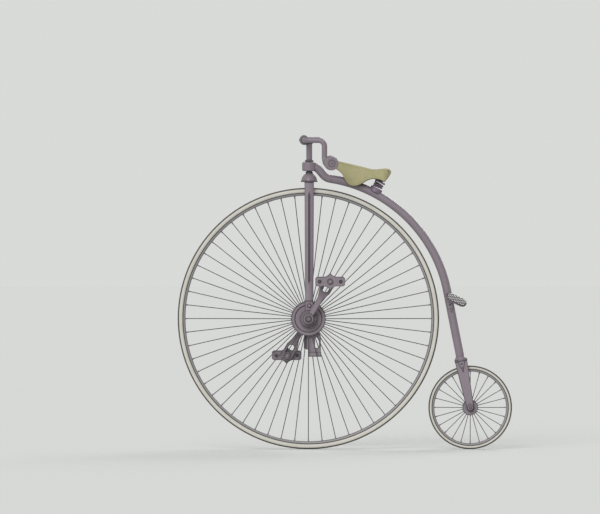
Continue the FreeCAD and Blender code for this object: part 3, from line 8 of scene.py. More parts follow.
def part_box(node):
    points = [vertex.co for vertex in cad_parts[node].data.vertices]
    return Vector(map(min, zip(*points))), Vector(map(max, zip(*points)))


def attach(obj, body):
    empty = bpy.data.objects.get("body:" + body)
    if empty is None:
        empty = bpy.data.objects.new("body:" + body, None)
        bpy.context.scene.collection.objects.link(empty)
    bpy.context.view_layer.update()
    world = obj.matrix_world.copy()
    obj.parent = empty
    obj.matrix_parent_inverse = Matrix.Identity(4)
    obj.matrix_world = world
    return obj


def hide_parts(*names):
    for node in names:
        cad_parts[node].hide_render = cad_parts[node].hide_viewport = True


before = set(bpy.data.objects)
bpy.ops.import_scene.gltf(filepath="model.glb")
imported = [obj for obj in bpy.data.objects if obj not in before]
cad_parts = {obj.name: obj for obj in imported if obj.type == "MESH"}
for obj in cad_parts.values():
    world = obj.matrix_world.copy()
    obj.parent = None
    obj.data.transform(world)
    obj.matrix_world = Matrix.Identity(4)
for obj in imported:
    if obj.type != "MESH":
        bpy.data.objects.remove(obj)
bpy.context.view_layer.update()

# Penny farthing bicycle: looks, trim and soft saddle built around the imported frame.
# Metres; +X forward, +Y to the rider's left, +Z up; the origin is the rider's seat point.

mm = 0.001


def middleOf(node):
    low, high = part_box(node)
    return (Vector(low) + Vector(high)) / 2


def sizeOf(node):
    low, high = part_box(node)
    return Vector(high) - Vector(low)


frontHub, rearHub = middleOf("front_tyre"), middleOf("rear_tyre")
frontRadius, rearRadius = sizeOf("front_tyre").z / 2, sizeOf("rear_tyre").z / 2
steerFoot = frontHub - Vector((0.004, 0, 0))  # the fork's own axis passes just behind the hub
ground = frontHub.z - frontRadius
left = Vector((0, 1, 0))
print("frame loaded: hubs", [round(v, 4) for v in frontHub], [round(v, 4) for v in rearHub])


class Value:
    # wraps a socket; sums, differences and products of values add their own Math nodes
    def __init__(self, finish, socket):
        self.finish, self.socket = finish, socket

    def math(self, operation, first, second=None):
        inputs = {0: first} if second is None else {0: first, 1: second}
        return self.finish.node("ShaderNodeMath", {"operation": operation}, inputs)

    def __add__(self, other):
        return self.math("ADD", self, other)

    def __radd__(self, other):
        return self.math("ADD", other, self)

    def __sub__(self, other):
        return self.math("SUBTRACT", self, other)

    def __rsub__(self, other):
        return self.math("SUBTRACT", other, self)

    def __mul__(self, other):
        return self.math("MULTIPLY", self, other)

    def __rmul__(self, other):
        return self.math("MULTIPLY", other, self)

    def __abs__(self):
        return self.math("ABSOLUTE", self)

    def most(self, other):
        return self.math("MAXIMUM", self, other)


class Finish:
    # one node tree, a material's or the world's
    def __init__(self, owner):
        owner.use_nodes = True
        self.owner, self.tree = owner, owner.node_tree
        self.tree.nodes.clear()

    def node(self, kind, settings, inputs, output=0):
        # any node: its settings first, then the numbers or links of its sockets
        made = self.tree.nodes.new(kind)
        for key, value in settings.items():
            setattr(made, key, value)
        for key, value in inputs.items():
            if isinstance(value, Value):
                self.tree.links.new(value.socket, made.inputs[key])
            else:
                made.inputs[key].default_value = value
        return Value(self, made.outputs[output]) if made.outputs else None

    def place(self, centre=(0, 0, 0), turn=(0, 0, 0), scale=(1, 1, 1)):
        # object coordinates, moved so that the pattern is centred on a piece
        spot = self.node("ShaderNodeTexCoord", {}, {}, "Object")
        back = self.node("ShaderNodeVectorMath", {"operation": "SUBTRACT"}, {0: spot, 1: centre})
        return self.node("ShaderNodeMapping", {}, {"Vector": back, "Rotation": turn, "Scale": scale})

    def noise(self, spot, scale, detail=3.0, roughness=0.55, distortion=0.0):
        inputs = {"Vector": spot, "Scale": scale, "Detail": detail, "Roughness": roughness,
                  "Distortion": distortion}
        return self.node("ShaderNodeTexNoise", {}, inputs)

    def cells(self, spot, scale, feature="DISTANCE_TO_EDGE"):
        return self.node("ShaderNodeTexVoronoi", {"feature": feature}, {"Vector": spot, "Scale": scale})

    def ramp(self, value, low, high):
        # 0 below low, 1 above high, smooth between
        return self.node("ShaderNodeMapRange", {"interpolation_type": "SMOOTHSTEP"},
                         {"Value": value, "From Min": low, "From Max": high})

    def blend(self, share, *tones):
        # from one tone to another, each a blend made before or a colour as red, green and blue
        first, second = (t if isinstance(t, Value) else (*t, 1.0) for t in tones)
        return self.node("ShaderNodeMix", {"data_type": "RGBA"}, {0: share, 6: first, 7: second}, 2)

    def part(self, spot, axis):
        return self.node("ShaderNodeSeparateXYZ", {}, {"Vector": spot}, axis)

    def facing(self, axis):
        # how far the surface faces along one axis, -1 to 1
        return self.part(self.node("ShaderNodeNewGeometry", {}, {}, "Normal"), axis)

    def radius(self, spot):
        # distance from the piece's own axle line, along Y
        flat = self.node("ShaderNodeVectorMath", {"operation": "MULTIPLY"}, {0: spot, 1: (1, 0, 1)})
        return self.node("ShaderNodeVectorMath", {"operation": "LENGTH"}, {0: flat}, 1)

    def line(self, value, middle, half):
        # 1 within a line's half width, 0 outside it
        return 1 - self.ramp(abs(value - middle), half * 0.6, half)

    def corners(self, reach, low, high):
        # painted shade from ambient occlusion: 1 in inner corners and seams, 0 in the open
        seen = self.node("ShaderNodeAmbientOcclusion", {"samples": 8}, {"Distance": reach}, "AO")
        return self.ramp(1 - seen, low, high)

    def edges(self, reach, low, high):
        # 1 along a piece's own outer edges, found from inside it
        seen = self.node("ShaderNodeAmbientOcclusion", {"samples": 8, "inside": True, "only_local": True},
                         {"Distance": reach}, "AO")
        return self.ramp(1 - seen, low, high)

    def bump(self, height, strength, distance):
        inputs = {"Height": height, "Strength": strength, "Distance": distance}
        return self.node("ShaderNodeBump", {}, inputs)

    def finish(self, **sockets):
        inputs = {key.replace("_", " "): value for key, value in sockets.items()}
        shader = self.node("ShaderNodeBsdfPrincipled", {}, inputs)
        self.node("ShaderNodeOutputMaterial", {}, {"Surface": shader})
        return self.owner


def newFinish(name):
    return Finish(bpy.data.materials.new(name))


def shade(colour, share):
    return [v * share for v in colour]


enamelLook = {
    "colour": (0.210, 0.174, 0.203), "liningAndShade": (0.030, 0.023, 0.029), "metal": (0.34, 0.33, 0.33),
    "dust": (0.36, 0.34, 0.32), "chips": 0.70,
    # metres from a corner or an edge
    "cornerShadeReach": 0.012, "edgeReach": 0.006, "tubeEdgeReach": 0.0004, "rearHubEdgeReach": 0.0018,
}
# the flutes of the fork blades, in metres above the foot of the steering axis
fluteLook = {"low": 0.157, "high": 0.625, "point": 0.03, "half": 0.0048}
# rings where lining or dirt lies: (radius, half width) about a piece's own axle, in metres
ringLook = {
    "hub": [(0.0655, 0.0026), (0.0815, 0.0022)], "rearHub": [(0.0355, 0.0018)],
    "crank": [(0.0258, 0.0027), (0.0162, 0.0020)], "case": [(0.0402, 0.0036), (0.0325, 0.0014)],
    "frontSteel": [(0.0136, 0.0026), (0.0082, 0.0018), (0.0, 0.0030)],
    "rearSteel": [(0.0138, 0.0026), (0.0062, 0.0018)], "pin": [(0.0122, 0.0024)],
}


def makeEnamel(name, centre=(0, 0, 0), rings=(), edgeReach=enamelLook["edgeReach"], flute=None):
    # brushed coach enamel, its edges lined in near black:
    # drag of the brush, dust, painted shade in the corners, fine chips
    look, f = enamelLook, newFinish(name)
    spot = f.place(centre)
    broad = f.noise(spot, 7.0, 4.0)
    mottle = f.noise(spot, 48.0, 5.0, 0.65)
    speck = f.noise(spot, 760.0, 2.0, 0.5)
    drag = f.noise(f.place(centre, scale=(1, 1, 0.06)), 260.0, 2.0)
    chipped = f.ramp(f.noise(spot, 150.0, 4.0, 0.7), look["chips"], look["chips"] + 0.03)
    chipped = chipped * f.ramp(broad, 0.5, 0.62)
    # painted shade: darker in the corners and where the piece meets its neighbours
    dark = f.corners(look["cornerShadeReach"], 0.16, 0.62)
    lined = f.edges(edgeReach, 0.07, 0.26)
    for middle, half in rings:
        lined = lined.most(f.line(f.radius(spot), middle, half))
    if flute:
        # the blades' flutes are painted dark from point to point
        high = f.part(spot, 2)
        ends = f.ramp(high, flute["low"], flute["low"] + flute["point"])
        ends = ends * (1 - f.ramp(high, flute["high"] - flute["point"], flute["high"]))
        outward = f.ramp(abs(f.facing(1)), 0.3, 0.6)
        lined = lined.most(f.line(f.part(spot, 0), 0.0, flute["half"]) * ends * outward)
    dusty = f.ramp(mottle, 0.52, 0.72) * 0.14
    tone = f.blend(broad, shade(look["colour"], 0.88), shade(look["colour"], 1.10))
    tone = f.blend(f.ramp(mottle, 0.35, 0.7) * 0.22, tone, shade(look["colour"], 0.80))
    tone = f.blend(dusty, tone, look["dust"])
    tone = f.blend(chipped * 0.7, tone, look["metal"])
    # the painted shade and the lining take one near-black colour
    tone = f.blend(dark.most(lined) * 0.86, tone, look["liningAndShade"])
    height = speck * 0.5 + drag * 0.3 - chipped * 0.8
    return f.finish(Base_Color=tone, Roughness=0.40 + 0.10 * mottle + dusty * 0.6 + dark * 0.2,
                    Metallic=chipped * 0.5, Coat_Weight=0.10, Coat_Roughness=0.3, Specular_IOR_Level=0.4,
                    Normal=f.bump(height, 0.16, 0.0004))


steelLook = {"colour": (0.205, 0.172, 0.198), "stain": (0.075, 0.052, 0.05), "bright": (0.36, 0.33, 0.35),
             "oil": (0.026, 0.02, 0.025)}


def makeTurned(name, centre, rings):
    # steel turned on its axle: fine tool marks, oil stain, black oil in the rings, painted shade in the
    # corners
    look, f = steelLook, newFinish(name)
    spot = f.place(centre)
    radius = f.radius(spot)
    turned = f.node("ShaderNodeCombineXYZ", {}, {0: radius, 1: f.part(spot, 1)})
    marks = f.noise(turned, 900.0, 3.0, 0.6)
    mottle = f.noise(spot, 60.0, 4.0, 0.6)
    stain = f.ramp(mottle, 0.52, 0.68)
    # painted shade in the corners, darkened along the edges as well
    dark = f.corners(0.008, 0.16, 0.55).most(f.edges(0.003, 0.12, 0.36))
    for middle, half in rings:
        dark = dark.most(f.line(radius, middle, half))
    tone = f.blend(marks * 0.35, look["colour"], look["bright"])
    tone = f.blend(stain * 0.45, tone, look["stain"])
    tone = f.blend(dark * 0.86, tone, look["oil"])
    return f.finish(Base_Color=tone, Metallic=0.5 - dark * 0.4,
                    Roughness=0.34 + 0.18 * mottle + 0.12 * stain, Normal=f.bump(marks, 0.25, 0.0003))


boltLook = {
    "steel": {"colour": (0.15, 0.13, 0.145), "bright": (0.34, 0.32, 0.33), "metal": 0.7},
    "dark": {"colour": (0.045, 0.036, 0.042), "bright": (0.11, 0.1, 0.105), "metal": 0.4},
    "copper": {"colour": (0.155, 0.105, 0.062), "bright": (0.30, 0.21, 0.13), "metal": 0.55},
}


def makeBolt(name, look):
    # screws, nuts, nipples and rivets: scratched bright, tarnished in patches, painted shade round the
    # foot
    f = newFinish(name)
    spot = f.place()
    scratch = f.noise(f.place(scale=(1, 0.2, 1)), 1300.0, 3.0, 0.6)
    mottle = f.noise(spot, 180.0, 4.0, 0.6)
    # painted shade round the foot, where the head meets its seat
    dark = f.corners(0.003, 0.2, 0.7)
    tone = f.blend(scratch * 0.5, look["colour"], look["bright"])
    tone = f.blend(f.ramp(mottle, 0.5, 0.7) * 0.4, tone, shade(look["colour"], 0.5))
    tone = f.blend(dark * 0.85, tone, shade(look["colour"], 0.12))
    return f.finish(Base_Color=tone, Metallic=look["metal"] - dark * 0.5,
                    Roughness=0.32 + 0.25 * mottle, Normal=f.bump(scratch, 0.14, 0.0002))


rimLook = {"colour": (0.262, 0.252, 0.256), "scuff": (0.37, 0.36, 0.355),
           "cement": (0.045, 0.04, 0.041), "bedLine": 0.0030, "innerLine": 0.0026,
           "front": 0.0125, "rear": 0.0115}  # how high each rim is, from its inner edge


def makeRim(name, centre, outer, high):
    # painted hollow rim: scuffs along the bend, dark lining inside, cement squeezed out by the tyre
    look, f = rimLook, newFinish(name)
    spot = f.place(centre)
    radius = f.radius(spot)
    mottle = f.noise(spot, 34.0, 4.0, 0.6)
    fine = f.noise(spot, 420.0, 3.0)
    scuffed = f.ramp(f.noise(spot, 90.0, 5.0, 0.7), 0.6, 0.74)
    ragged = radius + 0.0008 * (f.noise(spot, 160.0, 3.0) - 0.5)
    cement = f.ramp(ragged, outer - look["bedLine"], outer - look["bedLine"] + 0.0009)
    inside = outer - high + look["innerLine"]
    lined = 1 - f.ramp(radius, inside - 0.0008, inside)
    tone = f.blend(mottle, shade(look["colour"], 0.9), shade(look["colour"], 1.08))
    tone = f.blend(scuffed * 0.35, tone, look["scuff"])
    tone = f.blend(cement.most(lined) * 0.9, tone, look["cement"])
    return f.finish(Base_Color=tone, Roughness=0.46 + 0.12 * mottle + cement * 0.2,
                    Specular_IOR_Level=0.4, Normal=f.bump(fine, 0.12, 0.0003))


tyreLook = {"colour": (0.580, 0.568, 0.520), "old": (0.50, 0.475, 0.39), "road": (0.040, 0.036, 0.034),
            "crack": (0.30, 0.275, 0.215), "tread": 0.0078, "seat": 0.0052,
            "front": 0.028, "rear": 0.020}  # how high each tyre is, from the tread inwards


def makeTyre(name, centre, outer, inner):
    # cream rubber: a dark tread, part road dirt and part painted shade where the round section turns
    # away, cement by the rim, hairline cracks in the walls
    look, f = tyreLook, newFinish(name)
    spot = f.place(centre)
    radius = f.radius(spot)
    broad = f.noise(spot, 12.0, 4.0, 0.6)
    fine = f.noise(spot, 300.0, 4.0, 0.7)
    ragged = radius + 0.0014 * (f.noise(spot, 130.0, 3.0) - 0.5)
    tread = f.ramp(ragged, outer - look["tread"], outer - look["tread"] + 0.0018)
    worn = f.ramp(radius, outer - 0.0016, outer - 0.0003)
    cement = 1 - f.ramp(ragged, inner + look["seat"] - 0.0014, inner + look["seat"])
    cracked = (1 - f.ramp(f.cells(spot, 330.0), 0.004, 0.022)) * f.ramp(broad, 0.52, 0.7)
    tone = f.blend(f.ramp(broad, 0.3, 0.75) * 0.45, look["colour"], look["old"])
    tone = f.blend(cracked * 0.22, tone, look["crack"])
    tone = f.blend(cement * 0.92, tone, shade(look["road"], 1.2))
    # the dark tread: road dirt, and painted shade where the tyre's round section turns away from the side
    tone = f.blend(tread * 0.92, tone, look["road"])
    tone = f.blend(tread * worn * (0.10 + 0.25 * fine), tone, look["crack"])
    height = fine * 0.6 - cracked * 0.7 + tread * fine * 1.4
    return f.finish(Base_Color=tone, Roughness=0.66 + 0.14 * fine + 0.1 * tread,
                    Specular_IOR_Level=0.3, Normal=f.bump(height, 0.22, 0.0006))


spokeLook = {"wire": (0.050, 0.050, 0.054), "drawn": (0.092, 0.09, 0.096), "rust": (0.085, 0.05, 0.035)}


def makeSpokes(name):
    # dark drawn wire, touched with rust
    look, f = spokeLook, newFinish(name)
    drawn = f.noise(f.place(), 240.0, 3.0)
    rust = f.ramp(f.noise(f.place(), 60.0, 4.0, 0.7), 0.62, 0.74)
    tone = f.blend(drawn, look["wire"], look["drawn"])
    tone = f.blend(rust * 0.3, tone, look["rust"])
    return f.finish(Base_Color=tone, Metallic=0.45, Roughness=0.4 + 0.16 * drawn,
                    Normal=f.bump(drawn, 0.1, 0.0002))


leatherLook = {"colour": (0.382, 0.358, 0.195), "dark": (0.243, 0.215, 0.104),
               "worn": (0.46, 0.44, 0.25), "edge": (0.040, 0.033, 0.014), "edgeWide": 0.0034,
               "crease": 0.0092, "creaseHalf": 0.0009}


def makeLeather(name):
    # tanned hide: fine pebbled grain, burnished dark edge, pressed line beside it, worn paler on top,
    # painted shade in the corners
    look, f = leatherLook, newFinish(name)
    spot = f.place()
    rim = f.node("ShaderNodeAttribute", {"attribute_name": "fromEdge"}, {}, "Fac")
    broad = f.noise(spot, 14.0, 4.0, 0.6)
    pores = f.cells(spot, 1500.0, "F1")
    web = f.cells(spot, 900.0)
    creases = f.noise(f.place(scale=(1, 0.35, 1)), 75.0, 6.0, 0.72, 0.6)
    wear = f.ramp(f.facing(2), 0.55, 0.95)
    edge = 1 - f.ramp(rim + 0.0012 * (creases - 0.5), look["edgeWide"] * 0.7, look["edgeWide"])
    pressed = f.line(rim, look["crease"], look["creaseHalf"])
    # painted shade in the corners, blended into the dark edge's colour
    dark = f.corners(0.008, 0.3, 0.85)
    tone = f.blend(f.ramp(broad, 0.3, 0.72), look["colour"], shade(look["colour"], 0.84))
    tone = f.blend(f.ramp(creases, 0.55, 0.75) * 0.40, tone, look["dark"])
    tone = f.blend((1 - f.ramp(web, 0.0, 0.09)) * 0.24, tone, look["dark"])
    tone = f.blend(wear * broad * 0.28, tone, look["worn"])
    tone = f.blend(pressed * 0.55, tone, look["dark"])
    tone = f.blend(edge.most(dark * 0.75) * 0.92, tone, look["edge"])
    height = f.ramp(web, 0.0, 0.14) * 0.45 - pores * 0.25
    height = height - f.ramp(creases, 0.5, 0.8) * 0.45 - pressed * 1.2
    return f.finish(Base_Color=tone, Roughness=0.64 - wear * 0.10 + 0.1 * broad,
                    Specular_IOR_Level=0.27, Sheen_Weight=0.06, Sheen_Roughness=0.5,
                    Normal=f.bump(height, 0.42, 0.0006))


# rough, and the strength of the painted shade in the corners, run from 0 to 1; grain is the fine noise's
# scale and relief its bump's strength
springLook = {"colour": (0.168, 0.122, 0.174), "rough": 0.42, "grain": 420.0, "relief": 0.2, "cornerShadeStrength": 0.3}
rubberLook = {"colour": (0.085, 0.070, 0.080), "rough": 0.6, "grain": 700.0, "relief": 0.3, "cornerShadeStrength": 0.75}


def makeDark(name, look):
    # japanned spring steel or rubber: cloudy, finely speckled, with painted shade in the corners
    f = newFinish(name)
    spot, colour = f.place(), look["colour"]
    broad = f.noise(spot, 30.0, 4.0, 0.6)
    fine = f.noise(spot, look["grain"], 3.0, 0.6)
    # painted shade in the corners
    dark = f.corners(0.007, 0.22, 0.7)
    tone = f.blend(broad, shade(colour, 0.84), shade(colour, 1.18))
    tone = f.blend(f.ramp(fine, 0.6, 0.75) * 0.22, tone, shade(colour, 1.7))
    tone = f.blend(dark * look["cornerShadeStrength"], tone, shade(colour, 0.22))
    return f.finish(Base_Color=tone, Roughness=look["rough"] + 0.16 * broad,
                    Normal=f.bump(fine, look["relief"], 0.0004))


hornLook = {"colour": (0.186, 0.154, 0.178), "streak": (0.232, 0.197, 0.224), "cloud": (0.19, 0.16, 0.17),
            "dirtAndShade": (0.026, 0.02, 0.025)}


def makeHorn(name):
    # turned horn, worn satin: quiet streaks, painted shade in the corners, dirt along the edges
    look, f = hornLook, newFinish(name)
    streaks = f.noise(f.place(scale=(1, 0.10, 1)), 210.0, 4.0, 0.55, 0.5)
    broad = f.noise(f.place(), 20.0, 3.0)
    # painted shade in the corners, dirt along the edges
    dark = f.corners(0.006, 0.14, 0.5).most(f.edges(0.004, 0.12, 0.34) * 0.9)
    tone = f.blend(f.ramp(streaks, 0.3, 0.75), look["colour"], look["streak"])
    tone = f.blend(broad * 0.25, tone, look["cloud"])
    tone = f.blend(dark * 0.88, tone, look["dirtAndShade"])
    return f.finish(Base_Color=tone, Roughness=0.46 + 0.12 * streaks, Specular_IOR_Level=0.38,
                    Normal=f.bump(streaks, 0.06, 0.0002))


glassLook = {"clear": (0.86, 0.88, 0.9), "soot": (0.45, 0.42, 0.38), "through": 0.55}


def makeGlass(name):
    # thick bull's-eye glass, sooty in patches
    look, f = glassLook, newFinish(name)
    soot = f.ramp(f.noise(f.place(), 70.0, 4.0, 0.6), 0.45, 0.75)
    tone = f.blend(soot, look["clear"], look["soot"])
    return f.finish(Base_Color=tone, Roughness=0.06 + 0.25 * soot,
                    Transmission_Weight=look["through"], IOR=1.5, Normal=f.bump(soot, 0.06, 0.0005))


stepLook = {"normal": (-0.299, 0.707, 0.641), "bright": (0.68, 0.665, 0.65),
            "groove": (0.026, 0.02, 0.025),
            # metres below the highest tooth
            "tips": (0.0024, 0.0005), "pits": (0.0048, 0.0040)}


def makeStep(name, top):
    # cast step: tooth tips bright, partly trodden wear and partly a painted highlight; dark down in the
    # grooves, with painted shade in the corners; enamel elsewhere
    look, f = stepLook, newFinish(name)
    spot = f.place()
    height = f.node("ShaderNodeVectorMath", {"operation": "DOT_PRODUCT"},
                    {0: spot, 1: look["normal"]}, 1)
    mottle = f.noise(spot, 90.0, 4.0, 0.6)
    cast = f.noise(spot, 520.0, 3.0, 0.6)
    # the tooth tips: trodden bright, and a painted highlight on each tip
    tip = f.ramp(height + 0.0007 * (mottle - 0.5), top - look["tips"][0], top - look["tips"][1])
    pit = f.ramp(height, top - look["pits"][0], top - look["pits"][1]) * (1 - tip)
    # painted shade in the corners, darker along the edges away from the tips
    dark = f.corners(0.010, 0.16, 0.6).most(f.edges(0.0035, 0.14, 0.4) * (1 - tip))
    tone = f.blend(mottle, shade(enamelLook["colour"], 0.88), shade(enamelLook["colour"], 1.08))
    tone = f.blend(dark.most(pit) * 0.9, tone, look["groove"])
    tone = f.blend(tip, tone, look["bright"])
    return f.finish(Base_Color=tone, Metallic=tip * 0.35, Roughness=0.46 + 0.16 * mottle - tip * 0.1,
                    Normal=f.bump(cast, 0.2, 0.0004))


# metres: the rod ends from the pedal's middle, the dark ring round each and its half width
plateLook = {"rodAt": 0.051, "ring": 0.0070, "ringHalf": 0.0026, "edgeReach": 0.0038}


def makePedalPlate(name, centre):
    # enamelled pedal plate: dark rings round the rod ends, its edges lined, painted shade in the corners
    look, f = plateLook, newFinish(name)
    spot = f.place(centre)
    mottle = f.noise(spot, 60.0, 5.0, 0.65)
    speck = f.noise(spot, 700.0, 2.0)
    sideways = abs(f.part(spot, 0)) - look["rodAt"]
    aside = f.node("ShaderNodeCombineXYZ", {}, {0: sideways, 2: f.part(spot, 2)})
    ring = f.line(f.radius(aside), look["ring"], look["ringHalf"])
    # painted shade in the corners, with the lined edges and the dark rings
    dark = f.corners(0.006, 0.2, 0.7).most(f.edges(look["edgeReach"], 0.07, 0.26)).most(ring)
    tone = f.blend(mottle, shade(enamelLook["colour"], 0.86), shade(enamelLook["colour"], 1.08))
    tone = f.blend(f.ramp(mottle, 0.6, 0.75) * 0.2, tone, enamelLook["dust"])
    tone = f.blend(dark * 0.88, tone, enamelLook["liningAndShade"])
    return f.finish(Base_Color=tone, Roughness=0.42 + 0.14 * mottle, Specular_IOR_Level=0.4,
                    Normal=f.bump(speck, 0.12, 0.0003))


def deepest(node, direction):
    # how far a node reaches along a direction, in metres from the origin
    return max(v.co.dot(Vector(direction)) for v in node.data.vertices)


pedalMiddles = {side: middleOf("pedal_cage_" + side) for side in ("left", "right")}
enamel = makeEnamel("frameEnamel")
tubeEnamel = makeEnamel("tubeEnamel", edgeReach=enamelLook["tubeEdgeReach"])
bladeEnamel = makeEnamel("bladeEnamel", steerFoot, flute=fluteLook)
hubEnamel = makeEnamel("hubEnamel", frontHub, ringLook["hub"])
rearHubEnamel = makeEnamel("rearHubEnamel", rearHub, ringLook["rearHub"], enamelLook["rearHubEdgeReach"])
crankEnamel = makeEnamel("crankEnamel", frontHub, ringLook["crank"])
caseEnamel = makeEnamel("caseEnamel", frontHub, ringLook["case"])
frontSteel = makeTurned("frontTurnedSteel", frontHub, ringLook["frontSteel"])
rearSteel = makeTurned("rearTurnedSteel", rearHub, ringLook["rearSteel"])
frontTyre = makeTyre("frontTyreRubber", frontHub, frontRadius, frontRadius - tyreLook["front"])
rearTyre = makeTyre("rearTyreRubber", rearHub, rearRadius, rearRadius - tyreLook["rear"])
frontRim = makeRim("frontRimPaint", frontHub, sizeOf("front_rim").x / 2, rimLook["front"])
rearRim = makeRim("rearRimPaint", rearHub, sizeOf("rear_rim").x / 2, rimLook["rear"])
spokeWire = makeSpokes("spokeWire")
leather = makeLeather("saddleLeather")
springSteel = makeDark("japannedSpring", springLook)
pedalRubber = makeDark("pedalRubber", rubberLook)
horn = makeHorn("gripHorn")
boltSteel = makeBolt("boltSteel", boltLook["steel"])
darkBolt = makeBolt("darkBolt", boltLook["dark"])
copper = makeBolt("rivetCopper", boltLook["copper"])

# a node that isn't in this table wears the frame's enamel
finishOf = {
    "front_tyre": frontTyre, "rear_tyre": rearTyre, "front_rim": frontRim, "rear_rim": rearRim,
    "front_spokes": spokeWire, "rear_spokes": spokeWire,
    "front_hub": hubEnamel, "rear_hub": rearHubEnamel,
    "head_neck": tubeEnamel, "backbone_tube": tubeEnamel,
    "fork_blade_left": bladeEnamel, "fork_blade_right": bladeEnamel,
    "bearing_case_left": caseEnamel, "bearing_case_right": caseEnamel,
    "crank_left": crankEnamel, "crank_right": crankEnamel,
    "front_axle": frontSteel, "crank_nuts": frontSteel, "bearing_bolts": frontSteel,
    "rear_axle": rearSteel, "rear_axle_nuts": rearSteel,
    "pedal_pin_left": makeTurned("leftPinSteel", pedalMiddles["left"], ringLook["pin"]),
    "pedal_pin_right": makeTurned("rightPinSteel", pedalMiddles["right"], ringLook["pin"]),
    "pedal_cage_left": makePedalPlate("leftPedalEnamel", pedalMiddles["left"]),
    "pedal_cage_right": makePedalPlate("rightPedalEnamel", pedalMiddles["right"]),
    "saddle_frame": springSteel, "saddle_spring": springSteel, "saddle_clip": springSteel,
    "spring_seat": springSteel, "pedal_rubbers_left": pedalRubber, "pedal_rubbers_right": pedalRubber,
    "grip_left": horn, "grip_right": horn, "lamp_lens": makeGlass("lampGlass"),
    "step": makeStep("stepCasting", deepest(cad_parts["step"], stepLook["normal"])),
}
for name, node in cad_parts.items():
    for place in node.material_slots:
        place.material = finishOf.get(name, enamel)
print("finishes made:", len(bpy.data.materials))


def meshFrom(bm, name, material, smooth=35.0):
    # a mesh object from a bmesh: doubles merged, faces outward, soft shading with crisp edges
    bmesh.ops.remove_doubles(bm, verts=bm.verts, dist=1e-6)
    bmesh.ops.recalc_face_normals(bm, faces=bm.faces)
    mesh = bpy.data.meshes.new(name)
    bm.to_mesh(mesh)
    bm.free()
    mesh.shade_smooth()
    mesh.set_sharp_from_angle(angle=math.radians(smooth))
    mesh.materials.append(material)
    made = bpy.data.objects.new(name, mesh)
    bpy.context.collection.objects.link(made)
    return made


def lathe(profile, steps=24):
    # turn a profile of (radius, height), in millimetres, about Z, its poles closed
    bm = bmesh.new()
    spots = [bm.verts.new((r * mm, 0, z * mm)) for r, z in profile]
    line = [bm.edges.new(pair) for pair in zip(spots, spots[1:])]
    bmesh.ops.spin(bm, geom=spots + line, cent=(0, 0, 0), axis=(0, 0, 1), angle=math.tau, steps=steps,
                   use_merge=True, use_duplicate=False)
    bmesh.ops.remove_doubles(bm, verts=bm.verts, dist=1e-6)
    return bm


def standing(spot, direction, forward=(0, 0, 1)):
    # a matrix that puts local +Z along a direction at a spot, local +X as near forward as it goes
    z = Vector(direction).normalized()
    x = Vector(forward) - z * Vector(forward).dot(z)
    if x.length < 1e-4:
        x = Vector((1, 0, 0)) - z * z.x
    x.normalize()
    return Matrix.Translation(spot) @ Matrix((x, z.cross(x), z)).transposed().to_4x4()


def gathered(shapes):
    # one bmesh from (bmesh, matrices) pairs, each shape set down at all of its matrices
    whole = bmesh.new()
    for bm, matrices in shapes:
        bmesh.ops.recalc_face_normals(bm, faces=bm.faces)
        loose = bpy.data.meshes.new("part")
        bm.to_mesh(loose)
        bm.free()
        for matrix in matrices:
            copy = loose.copy()
            copy.transform(matrix)
            whole.from_mesh(copy)
            bpy.data.meshes.remove(copy)
        bpy.data.meshes.remove(loose)
    return whole


def addPiece(name, shapes, material, body, smooth=35.0):
    # a new piece of one or more shapes, riding on its body
    made = meshFrom(gathered(shapes), name, material, smooth)
    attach(made, body)
    return made


def softenTop(bm, height, offset):
    # round the upper edges of a head
    rim = [e for e in bm.edges if all(v.co.z > height - 1e-6 for v in e.verts)
           and any(abs(f.normal.z) < 0.5 for f in e.link_faces)]
    bmesh.ops.bevel(bm, geom=rim, offset=offset, offset_type="OFFSET", affect="EDGES", segments=2,
                    profile=0.5, material=-1)
    return bm


def screwHead(radius, height, slot, steps=18):
    # a slotted cheese head on z = 0, sunk a little below it
    bm = bmesh.new()
    bmesh.ops.create_cone(bm, cap_ends=True, segments=steps, radius1=radius * mm, radius2=radius * mm,
                          depth=height * mm)
    for side in (-1, 1):
        bmesh.ops.bisect_plane(bm, geom=bm.verts[:] + bm.edges[:] + bm.faces[:], dist=1e-7,
                               plane_co=(side * slot * mm / 2, 0, 0), plane_no=(1, 0, 0))
    bm.faces.ensure_lookup_table()
    halves = [f for f in bm.faces if f.normal.z > 0.9 and abs(f.calc_center_median().x) > slot * mm / 2]
    raised = bmesh.ops.extrude_discrete_faces(bm, faces=halves)["faces"]
    verts = list({v for f in raised for v in f.verts})
    bmesh.ops.translate(bm, verts=verts, vec=(0, 0, height * mm / 2))
    return softenTop(bm, height * mm, height * 0.18 * mm)


def rivet(radius, height, steps=14):
    # a domed rivet, its foot sunk below z = 0
    return lathe([(0, -height), (radius, -height), (radius, 0), (radius * 0.95, height * 0.35),
                  (radius * 0.72, height * 0.8), (radius * 0.38, height * 0.97), (0, height)], steps)


def hexHead(across, height):
    # a six-sided head on z = 0 with its upper corners turned off
    bm = bmesh.new()
    bmesh.ops.create_cone(bm, cap_ends=True, segments=6, radius1=across * mm / 2, radius2=across * mm / 2,
                          depth=height * mm)
    bmesh.ops.translate(bm, verts=bm.verts, vec=(0, 0, height * mm / 2))
    return softenTop(bm, height * mm, height * 0.2 * mm)


def softBox(long, wide, high, offset):
    # a small block centred on the origin with all its edges rounded; millimetres
    bm = bmesh.new()
    bmesh.ops.create_cube(bm, size=1.0)
    bmesh.ops.scale(bm, verts=bm.verts, vec=(long * mm, wide * mm, high * mm))
    bmesh.ops.bevel(bm, geom=bm.edges[:], offset=offset * mm, offset_type="OFFSET", affect="EDGES",
                    segments=2, profile=0.5, material=-1)
    return bm


